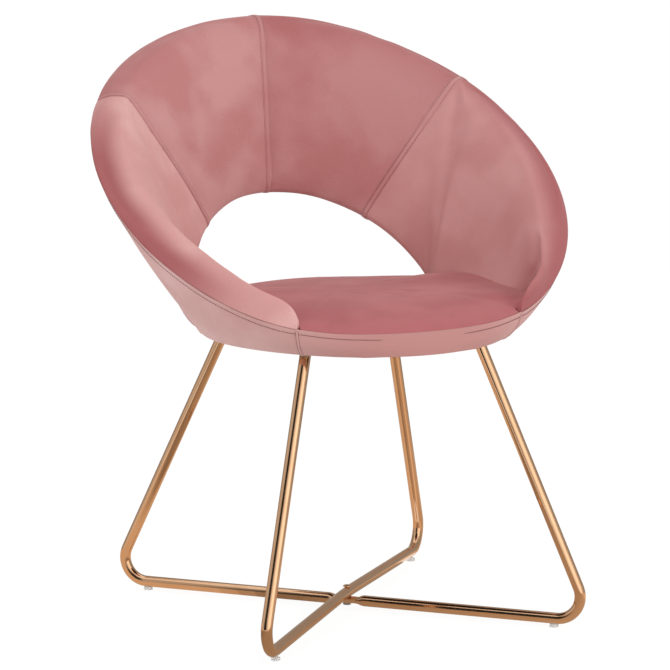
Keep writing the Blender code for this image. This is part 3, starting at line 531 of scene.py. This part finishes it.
def stitch_row(bm, course, offset, lift, pitch, thick):
    """Add one row of sunk stitches along a course."""
    rows = course.levels([offset - MM, offset, offset + MM])
    spots = [course.at(i, offset, row[1] + lift) for i, row in enumerate(rows)]
    line = evenly(spots, pitch)
    shape = Matrix.Diagonal((pitch * 0.4, thick / 2, thick / 2, 1))
    for a, b in zip(line, line[1:]):
        along = (b - a).normalized()
        nearest = min(range(len(spots)), key=lambda i: (spots[i] - a).length)
        across = course.ups[nearest].cross(along).normalized()
        turn = Matrix((along, across, along.cross(across))).transposed().to_4x4()
        place = Matrix.Translation((a + b) / 2) @ turn @ shape
        bmesh.ops.create_uvsphere(bm, u_segments=6, v_segments=4, radius=1, matrix=place)


def mark_painted_shade(piece, amount):
    """Store each vertex's painted shade, 0 to 1, for the velvet's darker shade colour."""
    layer = piece.data.attributes.new("painted_shade", "FLOAT", "POINT")
    for vertex, item in zip(piece.data.vertices, layer.data):
        item.value = amount(vertex.co)


def dress(piece, nodes):
    """Hang a new piece on what moves it, and hide the frame's nodes that it stands for."""
    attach(piece, "root")
    if nodes:
        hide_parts(*nodes)


def turned(name, node, profile, steps, finish, sharp=SHARP_TURN):
    """A turned piece in place of an upright solid; profile is (radius, height)."""
    spot = box_middle(node)
    spot.z = 0
    bm = bmesh.new()
    verts = [bm.verts.new(spot + Vector((r, 0, z))) for r, z in profile]
    edges = [bm.edges.new(pair) for pair in zip(verts, verts[1:])]
    bmesh.ops.spin(bm, geom=verts + edges, cent=spot, axis=(0, 0, 1), angle=2 * pi,
                   steps=steps, use_merge=True)
    closed_up(bm)
    piece = as_object(name, bm, finish)
    piece.data.set_sharp_from_angle(angle=sharp)
    dress(piece, [node])


# ---- settings
class ArmchairVelvet(bpy.types.PropertyGroup):
    # each part's pair of tones is set lighter or darker than the others: painted shade and sheen
    # of one fabric
    arm: StringProperty(name="Arm pads", default="#D3A29E", description="Pile towards the eye")
    arm_deep: StringProperty(
        name="Arm pads, deeper", default="#C8928E", description="Pile away from the eye")
    back: StringProperty(
        name="Back pads", default="#C69390", description="Pile towards the eye")
    back_deep: StringProperty(
        name="Back pads, deeper", default="#B97D7B", description="Pile away from the eye")
    seat: StringProperty(name="Seat", default="#AC6163", description="Pile towards the eye")
    seat_deep: StringProperty(
        name="Seat, deeper", default="#A05558", description="Pile away from the eye")
    cover: StringProperty(
        name="Outer cover", default="#DAB1AD", description="Pile towards the eye")
    cover_deep: StringProperty(
        name="Outer cover, deeper", default="#D0A29E", description="Pile away from the eye")
    # painted shade colour, mixed in towards the middle of the front
    cover_front_shade: StringProperty(
        name="Outer cover, front", default="#B5817C", description="The middle of the front")
    # painted shade colour for rolled edges and the left arm's end
    rolled_shade: StringProperty(
        name="Rolled edges", default="#9C5355",
        description="Open pile where a panel turns over an edge")
    pressure: FloatProperty(
        name="Stuffing pressure", default=4.0, min=0.0, max=12.0,
        description="Pressure under the cover while it is filled out")
    swell: FloatProperty(
        name="Largest swell", default=4 * MM, min=0.0, max=0.03, unit="LENGTH",
        description="The most that the pressure may move the cover")


class ArmchairSeams(bpy.types.PropertyGroup):
    tape: FloatProperty(
        name="Felled seam width", default=9 * MM, unit="LENGTH",
        description="Width of the folded strip with its two stitch rows")
    rise: FloatProperty(
        name="Felled seam height", default=1.1 * MM, unit="LENGTH",
        description="How far the folded strip stands proud")
    stitch: FloatProperty(
        name="Stitch length", default=3.4 * MM, unit="LENGTH",
        description="Length of one stitch of the top rows")
    thread: FloatProperty(
        name="Thread thickness", default=1.2 * MM, unit="LENGTH",
        description="Drawn thicker than the real 0.7 mm so that it shows")
    row: FloatProperty(
        name="Rim row", default=7 * MM, unit="LENGTH",
        description="From the rim to its row of stitches")
    colour: StringProperty(
        name="Thread colour", default="#5E2F31", description="Colour of the sewing thread")


class ArmchairMetal(bpy.types.PropertyGroup):
    tube: FloatProperty(
        name="Tube diameter", default=16 * MM, unit="LENGTH",
        description="Outside diameter of the frames' tube")
    bend: FloatProperty(
        name="Bend radius", default=34 * MM, unit="LENGTH",
        description="Radius of the tube's axis where a leg turns into a rail")
    glide_reach: FloatProperty(
        name="Glide to corner", default=56 * MM, unit="LENGTH",
        description="From a glide to where leg and rail would meet")
    pinch: FloatProperty(
        name="Pinched thickness", default=5.5 * MM, unit="LENGTH",
        description="Lower rail where the upper one crosses it")
    pinch_width: FloatProperty(
        name="Pinched width", default=20.5 * MM, unit="LENGTH",
        description="Width to which the pinched rail spreads")
    plating: StringProperty(
        name="Plating", default="#EEC6A1", description="Polished rose-gold plating")
    plating_deep: StringProperty(
        name="Plating, deeper", default="#DEAF88", description="Where the plating is thicker")
    polish: FloatProperty(
        name="Polish", default=0.09, min=0.02, max=0.6,
        description="Roughness of the plated tube")


class ArmchairStudio(bpy.types.PropertyGroup):
    floor: StringProperty(name="Floor", default="#FFFFFF", description="Colour of the floor")
    level: FloatProperty(
        name="Light level", default=1.0, min=0.0, max=3.0, description="Scales every lamp")


# ---- upholstery
SEWN_COVERS = ("front_band_velvet", "outer_cover_left_velvet", "outer_cover_right_velvet")


def rim_ring():
    """The line where the finished covers end at the rim, once round."""
    tops = {}
    for name in SEWN_COVERS:
        for vert in bpy.data.objects[name].data.vertices:
            key = round(polar(vert.co)[0] * 120 / pi)
            if key not in tops or vert.co.z > tops[key].z:
                tops[key] = vert.co.copy()
    ring = flowing([tops[key] for key in sorted(tops)], 4, closed=True)
    return ring + ring[:1]


def front_shade(p):
    """Painted shade, 1 in the middle of the front and falling to the sides."""
    return 1 - ease(abs(polar(p)[0]), radians(15), radians(75))


def part_velvet(part, look):
    """The velvet of one part of the chair, toned per part as painted shade and sheen."""
    tones = {"arm pads": (look.arm, look.arm_deep, look.rolled_shade),
             "back pads": (look.back, look.back_deep, look.rolled_shade),
             "seat": (look.seat, look.seat_deep, look.rolled_shade),
             "outer cover": (look.cover, look.cover_deep, look.cover_front_shade)}
    return material("cut-pile velvet, " + part, velvet, *tones[part])


def along_edges(edges):
    """Points on edges, about 2 mm apart, as a search tree."""
    found = []
    for edge in edges:
        a, b = (v.co for v in edge.verts)
        steps = max(2, int((b - a).length / (2 * MM)))
        found += [a.lerp(b, i / steps) for i in range(steps + 1)]
    return nearby(found)


def pad_from(node, name, finish, look, painted_shade, push=None):
    """A sewn and stuffed piece made over one of the frame's plain solids.

    Only edges that lie against a neighbour are seams; the others are soft rolls. push
    gives each point of the finished skin a last small move.
    """
    bm = merged_copy(node)
    sewn_to = ("arm_pad", "back_pad", "seat_cushion", "outer_cover", "front_band", "rear_band",
               "plywood_shell")
    around = skin_of(other for other in NODES if other.startswith(sewn_to) and other != node)

    def sewn(edge):
        middle = (edge.verts[0].co + edge.verts[1].co) / 2
        return around.find_nearest(middle, TOUCHING)[0] is not None

    seams = along_edges(crease(bm, sewn))

    def held(p):
        return seams.find(p)[2] < SEAM_HOLD

    piece = as_object(name, bm, finish)
    rounded(piece, 2, 1)
    settle(piece, 12, held)
    fill_hollows(piece, 90, held)
    if look.pressure > 0:
        fill_out(piece, held, look.pressure, look.swell)
        settle(piece, 2, held)
    if push:
        for vertex in piece.data.vertices:
            vertex.co += push(vertex.co)
    rounded(piece, 1)
    piece.data.shade_smooth()
    # store the painted shade given for each point
    mark_painted_shade(piece, painted_shade)
    dress(piece, [node])


def arm_end_tuck(p, left_cover):
    """Draw the end of the left arm in against its cover; the seat bulges into its place."""
    turn = polar(p)[0]
    share = 1 - ease(turn, radians(44), radians(66))
    if p.x < 0 or share <= 0:
        return Vector()
    gap = left_cover.find_nearest(p)[3]
    return (outward(p) * 12 * MM - Vector((0, 0, 2 * MM))) * share * ease(gap, 1 * MM, 32 * MM)


def seat_bulge(p):
    """The seat's swelling beside the left arm's end."""
    turn, away = polar(p)
    share = ease(turn, radians(43), radians(50)) * (1 - ease(turn, radians(54), radians(70)))
    share *= ease(away, 0.17, 0.235) * ease(p.z, BASE_Z + 12 * MM, SEAT_TOP - 8 * MM)
    return (outward(p) * 6 * MM + Vector((0, 0, 2.5 * MM))) * share


class ARMCHAIR_OT_pads(bpy.types.Operator):
    """Upholster the arm pads and the back pads"""
    bl_idname = "armchair.pads"
    bl_label = "Arm and back pads"

    def execute(self, context):
        look = context.scene.armchair_velvet
        cover = skin_of(["outer_cover_left"])
        rim = nearby(evenly(rim_ring(), 4 * MM))

        def near(p, full, none):
            return 1 - ease(rim.find(p)[2], full, none)

        def left_arm_shade(p):
            end = 1 - ease(polar(p)[0], radians(52), radians(80))
            return 0.3 + 0.65 * max(end * 0.7, near(p, 14 * MM, 62 * MM))

        def right_arm_shade(p):
            turn = abs(polar(p)[0])
            middle = ease(turn, radians(50), radians(76)) * (
                1 - ease(turn, radians(104), radians(130)))
            return 0.9 * near(p, 12 * MM, 44 * MM) * middle

        # painted shade near the rim, on the left arm's end and, lightly, over whole pads
        for part, side, painted_shade, push in (
                ("arm", "left", left_arm_shade, lambda p: arm_end_tuck(p, cover)),
                ("back", "left", lambda p: 0.32 + 0.6 * near(p, 6 * MM, 80 * MM), None),
                ("arm", "right", right_arm_shade, None),
                ("back", "right", lambda p: 0.08 + 0.42 * near(p, 6 * MM, 80 * MM), None)):
            pad_from(f"{part}_pad_{side}", f"{part}_velvet_{side}",
                     part_velvet(part + " pads", look), look, painted_shade, push)
        return {"FINISHED"}


class ARMCHAIR_OT_seat(bpy.types.Operator):
    """Upholster the seat cushion"""
    bl_idname = "armchair.seat"
    bl_label = "Seat cushion"

    def execute(self, context):
        look = context.scene.armchair_velvet
        pad_from("seat_cushion", "seat_velvet", part_velvet("seat", look), look,
                 lambda p: 0.0, seat_bulge)
        return {"FINISHED"}


class ARMCHAIR_OT_covers(bpy.types.Operator):
    """Stretch the outer covers and the strips under the seat's edge"""
    bl_idname = "armchair.covers"
    bl_label = "Outer covers"

    def execute(self, context):
        finish = part_velvet("outer cover", context.scene.armchair_velvet)
        for node in ("outer_cover_left", "outer_cover_right", "front_band", "rear_band"):
            bm = merged_copy(node)
            crease(bm)
            piece = as_object(node + "_velvet", bm, finish)
            rounded(piece, 3, 3)
            # painted shade towards the middle of the front
            mark_painted_shade(piece, front_shade)
            dress(piece, [node])
        return {"FINISHED"}


def cut_outline(node, facing, around):
    """The open part of the outline of one flat end of a solid, in order.

    facing is roughly the end's normal. A point counts as open when nothing of the solids
    around lies close outside it.
    """
    bm = merged_copy(node)
    best = max(bm.faces, key=lambda f: (f.normal.dot(facing) > 0.97) * f.calc_area())
    normal, height = best.normal.copy(), best.normal.dot(best.calc_center_median())
    flat = [f for f in bm.faces if f.normal.dot(normal) > 0.9995
            and abs(f.calc_center_median().dot(normal) - height) < 0.2 * MM]
    border = {}
    for edge in (e for f in flat for e in f.edges):
        if sum(f in flat for f in edge.link_faces) == 1:
            for vert in edge.verts:
                border.setdefault(vert, []).append(edge)
    vert = next(iter(border))
    start, came, loop = vert, None, []
    while not loop or vert is not start:
        loop.append(vert.co.copy())
        came = next(e for e in border[vert] if e is not came)
        vert = came.other_vert(vert)
    bm.free()
    loop = evenly(loop + loop[:1], 2 * MM)[:-1]
    centre = sum(loop, Vector()) / len(loop)
    count = len(loop)
    ways = [(loop[(i + 1) % count] - loop[i - 1]).cross(normal).normalized()
            for i in range(count)]
    if sum((p - centre).dot(out) for p, out in zip(loop, ways)) < 0:
        ways = [-out for out in ways]
    free = [around.ray_cast(p + out * 0.1 * MM, out, 9 * MM)[0] is None
            for p, out in zip(loop, ways)]
    runs, run = [], []
    for k in range(2 * count):
        if free[k % count] and len(run) < count:
            run.append((loop[k % count], ways[k % count]))
        else:
            runs.append(run)
            run = []
    line, outs = zip(*max(runs + [run], key=len)[2:-2])
    return flowing(line, 2), list(outs), normal


def sewn_on(name, bm, look):
    """Make an object of rows of stitches."""
    rows = as_object(name, bm, material("bonded polyester thread", thread, look.colour))
    dress(rows, [])


def felled_seam(name, node, facing, joined, others, width, finish, look):
    """A folded strip over the joint of two pieces, with its two rows of stitches."""
    line, outs, normal = cut_outline(node, facing, skin_of(others))
    course = Course(line, skin_of(joined), normal, outs)
    half, rise = width / 2, look.rise
    # a turned-under edge, the groove that the stitches pull in, and the fold's flat back
    profile = [(-half - 0.5 * MM, -0.4 * MM), (-half, rise * 0.6),
               (-half + 0.8 * MM, rise * 0.7), (-half + 1.2 * MM, rise * 0.2),
               (-half + 1.6 * MM, rise * 0.75), (-half * 0.3, rise)]
    profile += [(-offset, height) for offset, height in profile[::-1]]
    strip = as_object(name, laid_strip(course, profile, 0.4 * MM), finish)
    # painted shade: cover strips towards the front's middle, strips on the pads a little all
    # along
    mark_painted_shade(strip, front_shade if finish.name.endswith("cover") else lambda p: 0.2)
    dress(strip, [])
    bm = bmesh.new()
    for side in (-1, 1):
        stitch_row(bm, course, side * (half - 1.2 * MM), rise * 0.45, look.stitch, look.thread)
    sewn_on(name + "_stitches", bm, look)


class ARMCHAIR_OT_seams(bpy.types.Operator):
    """Sew the felled seams and the rows of top stitches"""
    bl_idname = "armchair.seams"
    bl_label = "Seams and stitches"

    def execute(self, context):
        look, velvets = context.scene.armchair_seams, context.scene.armchair_velvet
        pads, covers = (part_velvet(part, velvets) for part in ("back pads", "outer cover"))
        both = ["seat_cushion", "plywood_shell"]
        shell = both + ["outer_cover_left", "outer_cover_right", "rear_band"]
        inside = both + ["arm_pad_left", "arm_pad_right", "seat_board", "dust_cover"]
        felled_seam("centre_back_seam", "back_pad_left", Vector((-1, 0, 0)),
                    ["back_velvet_left", "back_velvet_right"], shell, look.tape, pads, look)
        for side, sign in (("left", 1), ("right", -1)):
            felled_seam(f"side_seam_{side}", "back_pad_" + side,
                        Vector((0.51 * sign, -0.73, -0.45)),
                        ["back_velvet_" + side, "arm_velvet_" + side], shell, look.tape,
                        pads, look)
            felled_seam(f"arm_end_seam_{side}", "front_band", Vector((0.76 * sign, 0.65, 0)),
                        ["front_band_velvet", f"outer_cover_{side}_velvet"], inside,
                        look.tape * 0.7, covers, look)

        # one row of stitches holds the covers' folded edge all round the rim
        ring = evenly(rim_ring(), 3 * MM)
        course = Course(ring, skin_of(SEWN_COVERS), Vector((0, 0, -1)),
                        [outward(p) for p in ring])
        bm = bmesh.new()
        stitch_row(bm, course, look.row, look.thread * 0.4, look.stitch, look.thread)
        sewn_on("rim_stitches", bm, look)
        return {"FINISHED"}


# ---- hard parts
RAILS = {"lower": ("back_right", "front_left"), "upper": ("front_right", "back_left")}


def half_frame(name, aim, look):
    """Axis of a leg from its plate, round the bend and along the rail to the crossing."""
    top = box_middle("leg_plate_" + name)
    top.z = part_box("leg_plate_" + name)[0].z - CLEAR
    glide = box_middle("glide_" + name)
    corner = Vector((glide.x, glide.y, RAIL_FOOT + look.tube / 2))
    corner += outward(glide) * look.glide_reach
    leg, run = (top - corner).normalized(), (aim - corner).normalized()
    turn = pi - leg.angle(run)
    reach = look.bend * sin(turn / 2) / cos(turn / 2)
    centre = corner + (leg + run).normalized() * (look.bend / cos(turn / 2))
    spoke = corner + leg * reach - centre
    swing = spoke.cross(-leg).normalized()
    bend = [centre + Matrix.Rotation(turn * i / 20, 3, swing) @ spoke for i in range(21)]
    rail = evenly([bend[-1], aim], 2 * MM)[1:-1]
    return [top + leg * 6 * MM] + evenly([top, bend[0]], 20 * MM)[:-1] + bend + rail


def frame_axis(which, look):
    """Axis of one bent tube, leg to leg, and the point where the rails cross."""
    middle = box_middle("cross_bolt")
    middle.z = RAIL_FOOT + look.tube / 2
    lift = look.pinch / 2 + CLEAR + look.tube / 2 if which == "upper" else 0.0
    aim = middle + Vector((0, 0, lift))
    first, last = (half_frame(name, aim, look) for name in RAILS[which])
    axis = first + [aim] + last[::-1]
    if lift:
        slope = lift / RAIL_HALF
        for p in axis:
            away = sqrt(p.x ** 2 + (p.y - middle.y) ** 2)
            if away < CROSS_HALF:
                p.z -= slope * (CROSS_HALF - away) ** 2 / (2 * CROSS_HALF)
    return axis, middle


def press_flat(bm, middle, along, look):
    """Pinch the lower rail where it is crossed, and let it spread sideways."""
    across = along.cross(Vector((0, 0, 1))).normalized()
    for vert in bm.verts:
        offset = vert.co - middle
        if offset.length > 60 * MM:
            continue
        share = 1 - ease(abs(offset.dot(along)), PINCH_HALF, PINCH_HALF + PINCH_RUNOUT)
        sideways = offset.dot(across)
        flat = clamp(offset.z * 1.6, -look.pinch / 2, look.pinch / 2)
        vert.co.z += (flat - offset.z) * share
        vert.co += across * sideways * (look.pinch_width / look.tube - 1) * share


class ARMCHAIR_OT_frames(bpy.types.Operator):
    """Plate the two tube frames and the bolt through them"""
    bl_idname = "armchair.frames"
    bl_label = "Tube frames"

    def execute(self, context):
        look = context.scene.armchair_metal
        finish = material("polished steel, rose-gold plated", plated_steel, look.plating,
                          look.plating_deep, look.polish)
        for which in RAILS:
            axis, middle = frame_axis(which, look)
            bm = swept(axis, look.tube / 2, 8)
            if which == "lower":
                press_flat(bm, middle, (axis[-40] - axis[40]).normalized(), look)
            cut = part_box("leg_plate_front_left")[0].z - CLEAR
            made = bmesh.ops.bisect_plane(bm, geom=bm.verts[:] + bm.edges[:] + bm.faces[:],
                                          plane_co=(0, 0, cut), plane_no=(0, 0, 1),
                                          clear_outer=True)["geom_cut"]
            bmesh.ops.edgeloop_fill(
                bm, edges=[e for e in made if isinstance(e, bmesh.types.BMEdge)])
            bmesh.ops.recalc_face_normals(bm, faces=bm.faces)
            piece = as_object(f"frame_{which}_plated", bm, finish)
            piece.data.set_sharp_from_angle(angle=SHARP_TURN)
            dress(piece, ["leg_frame_" + which])

        low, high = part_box("cross_bolt")
        head = (high.x - low.x) / 2
        under = high.z - BOLT_HEAD_HEIGHT
        rim = 0.6 * MM
        crown = [(head * cos(t), under + rim + (BOLT_HEAD_HEIGHT - rim) * sin(t))
                 for t in (pi / 2 * k / 8 for k in range(8))]
        profile = [(0, low.z), (BOLT_SHANK - BOLT_CHAMFER, low.z),
                   (BOLT_SHANK, low.z + BOLT_CHAMFER), (BOLT_SHANK, under), (head, under)]
        profile += crown + [(0, high.z)]
        turned("cross_bolt_plated", "cross_bolt", profile, 32, finish,
               radians(45))
        return {"FINISHED"}


class ARMCHAIR_OT_underside(bpy.types.Operator):
    """Finish the board, dust cover, plates, screws and glides"""
    bl_idname = "armchair.underside"
    bl_label = "Underside"

    def execute(self, context):
        ply = material("birch plywood, sanded", birch_plywood, "#C9A77A", "#A9845A")
        zinc = material("zinc-plated steel", zinc_plate, "#A9A9A6")
        clear = material("clear polypropylene, moulded", moulded_clear, "#ECECEA")
        finishes = {
            "seat_board": ply, "plywood_shell": ply, "glide": clear,
            "dust_cover": material("spunbonded polypropylene", spunbond, "#1B1B1C"),
            "leg_plate": zinc, "leg_screw": zinc, "cross_nut": zinc}
        for name in ("front_left", "front_right", "back_left", "back_right"):
            low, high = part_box("glide_" + name)
            disc, rail = (high.x - low.x) / 2, RAIL_FOOT - CLEAR
            edge, corner = GLIDE_EDGE, GLIDE_EDGE * 0.3
            profile = [(0, low.z), (disc - edge, low.z), (disc - corner, low.z + corner),
                       (disc, low.z + edge), (disc, rail - edge),
                       (disc - corner, rail - corner), (disc - edge, rail),
                       (GLIDE_STEM, rail), (GLIDE_STEM, high.z), (0, high.z)]
            turned("glide_clear_" + name, "glide_" + name, profile, 28, clear)
        for name, node in NODES.items():
            for start, finish in finishes.items():
                if name.startswith(start):
                    node.data.materials.clear()
                    node.data.materials.append(finish)
        return {"FINISHED"}


# ---- studio
def aimed(piece, place, toward):
    """Put a lamp or a camera in its place and turn it to look in a direction."""
    piece.location = place
    piece.rotation_euler = toward.to_track_quat("-Z", "Y").to_euler()


def seen_directly(tree):
    """1 for what the camera sees straight, in a mirror or through glass, else 0."""
    path = add_node(tree, "ShaderNodeLightPath")
    both = add_node(tree, "ShaderNodeMath", {"operation": "MAXIMUM"}, {
        0: path.outputs["Is Camera Ray"], 1: path.outputs["Is Glossy Ray"]})
    return add_node(tree, "ShaderNodeMath", {"operation": "MAXIMUM"}, {
        0: both.outputs[0], 1: path.outputs["Is Transmission Ray"]}).outputs[0]


def reflection_glow(tree, tone):
    """Glow for painted reflections in the metal, as bright as the mesh says."""
    shade = add_node(tree, "ShaderNodeAttribute", {"attribute_name": "shade"})
    return add_node(tree, "ShaderNodeEmission", links={
        "Color": linear(tone), "Strength": shade.outputs["Fac"]})


def studio_floor(tree, colour):
    """White painted floor: it takes a shadow, and glows where it is looked at."""
    lit = add_node(tree, "ShaderNodeBsdfDiffuse", links={"Color": linear("#E6E6E6")})
    glow = add_node(tree, "ShaderNodeEmission", links={
        "Color": linear(colour), "Strength": 1.07})
    share = add_node(tree, "ShaderNodeMath", {"operation": "MULTIPLY"}, {
        0: seen_directly(tree), 1: 0.86})
    return add_node(tree, "ShaderNodeMixShader", links={
        0: share.outputs[0], 1: lit.outputs[0], 2: glow.outputs[0]})


def reflected_part(name, foot, rows, tone, shades):
    """A glowing ring or disc round a foot, seen only in polished metal: painted reflections.

    rows are (distance from the foot, height); shades lists (angle from straight ahead of
    the chair towards its right arm, brightness).
    """
    bm = bmesh.new()
    bmesh.ops.create_grid(bm, x_segments=90, y_segments=1, size=1)
    tint = bm.verts.layers.float.new("shade")
    for vert in bm.verts:
        turn = 180 * vert.co.x
        away, height = rows[vert.co.y > 0]
        for (a, low), (b, high) in zip(shades, shades[1:]):
            if a <= turn <= b:
                vert[tint] = low + (high - low) * ease(turn, a, b)
        way = radians(turn)
        vert.co = (foot.x - away * sin(way), foot.y - away * cos(way), height)
    part = as_object(name, bm, material(name, reflection_glow, tone))
    set_all(part, visible_camera=False, visible_diffuse=False, visible_shadow=False,
            visible_transmission=False, visible_volume_scatter=False)


class ARMCHAIR_OT_studio(bpy.types.Operator):
    """Set up the floor, the lamps and the camera"""
    bl_idname = "armchair.studio"
    bl_label = "Studio"

    def execute(self, context):
        look = context.scene.armchair_studio
        scene = context.scene
        scene.view_settings.view_transform = "Standard"

        world = bpy.data.worlds.new("studio walls")
        scene.world = world
        world.use_nodes = True
        tree = world.node_tree
        tree.nodes.clear()
        white = (1, 1, 1, 1)
        seen = add_node(tree, "ShaderNodeBackground", links={"Color": white, "Strength": 1.0})
        up = add_node(tree, "ShaderNodeTexCoord").outputs["Generated"]
        split = add_node(tree, "ShaderNodeSeparateXYZ", links={"Vector": up})
        height = add_node(tree, "ShaderNodeMapRange", links={
            "Value": split.outputs["Z"], "From Min": -0.2, "From Max": 0.9,
            "To Min": 0.8, "To Max": 0.86})
        walls = add_node(tree, "ShaderNodeBackground", links={
            "Color": white, "Strength": height.outputs["Result"]})
        both = add_node(tree, "ShaderNodeMixShader", links={
            0: seen_directly(tree), 1: walls.outputs[0], 2: seen.outputs[0]})
        add_node(tree, "ShaderNodeOutputWorld", links={"Surface": both.outputs[0]})

        bm = bmesh.new()
        bmesh.ops.create_grid(bm, x_segments=1, y_segments=1, size=40.0)
        as_object("studio_floor", bm, material("painted studio floor", studio_floor,
                                                        look.floor))

        # glowing ring and disc seen only in the metal: painted reflections, light and dark by
        # angle, for the tubes' streaks
        reflected_part("reflection_glow_walls", box_middle("glide_front_right"),
                       ((1.3, 0.004), (1.3, 1.7)), "#FFFAF4", (
            (-180, 0.35), (-107, 0.35), (-72, 0.42), (-50, 0.8), (-34, 1.5), (-8, 1.4),
            (12, 0.95), (24, 0.75), (38, 0.15), (50, 0.0), (76, 0.0), (90, 0.55), (123, 0.66),
            (158, 0.36), (180, 0.35)))
        reflected_part("reflection_glow_floor", box_middle("glide_back_left"),
                       ((0.04, 0.003), (1.3, 0.003)), "#FFE4C8", (
            (-180, 0.75), (-110, 0.65), (-60, 0.6), (-30, 0.95), (-10, 0.6), (10, 0.5),
            (40, 0.42), (60, 0.3), (78, 0.75), (115, 0.75), (150, 0.7), (180, 0.75)))

        middle = Vector((0, 0, 0.5))
        for name, watts, wide, high, place in (
                ("key_softbox", 44, 1.6, 1.6, (2.1, -3.0, 1.8)),
                ("fill_softbox", 20, 1.6, 2.0, (-2.8, -2.2, 1.5)),
                ("top_softbox", 5, 1.8, 1.8, (0.2, 0.6, 3.0))):
            lamp = set_all(bpy.data.lights.new(name, "AREA"), shape="RECTANGLE", size=wide,
                           size_y=high, energy=watts * look.level)
            aimed(new_object(name, lamp), place, middle - Vector(place))

        camera = set_all(bpy.data.cameras.new("camera"), sensor_width=36.0, lens=197.4,
                         clip_end=60.0)
        scene.camera = new_object("camera", camera)
        aimed(scene.camera, (-2.2276, -4.6477 + RAILS_Y + MM, 1.2776),
              Vector((0.42315, 0.89032, -0.16815)))
        return {"FINISHED"}


# ---- panel and registration
class ARMCHAIR_PT_panel(bpy.types.Panel):
    """Lists the armchair's pieces in the order in which they are made"""
    bl_label = "Velvet tub armchair"
    bl_idname = "ARMCHAIR_PT_panel"
    bl_space_type = "VIEW_3D"
    bl_region_type = "UI"
    bl_category = "Armchair"

    def draw(self, context):
        for operator in OPERATORS:
            self.layout.operator(operator.bl_idname)
        for name in SETTINGS:
            box = self.layout.box()
            group = getattr(context.scene, name)
            for key in type(group).__annotations__:
                box.prop(group, key)


SETTINGS = {"armchair_velvet": ArmchairVelvet, "armchair_seams": ArmchairSeams,
            "armchair_metal": ArmchairMetal, "armchair_studio": ArmchairStudio}
OPERATORS = (ARMCHAIR_OT_frames, ARMCHAIR_OT_underside, ARMCHAIR_OT_covers, ARMCHAIR_OT_pads,
             ARMCHAIR_OT_seat, ARMCHAIR_OT_seams, ARMCHAIR_OT_studio)


def register():
    for group in (*SETTINGS.values(), *OPERATORS, ARMCHAIR_PT_panel):
        bpy.utils.register_class(group)
    for name, group in SETTINGS.items():
        setattr(bpy.types.Scene, name, PointerProperty(type=group))


def unregister():
    for name in SETTINGS:
        delattr(bpy.types.Scene, name)
    for group in (ARMCHAIR_PT_panel, *OPERATORS[::-1], *SETTINGS.values()):
        bpy.utils.unregister_class(group)


def main():
    """Make every piece."""
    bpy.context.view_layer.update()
    register()
    for operator in OPERATORS:
        group, name = operator.bl_idname.split(".")
        getattr(getattr(bpy.ops, group), name)()


if __name__ == "__main__":
    main()
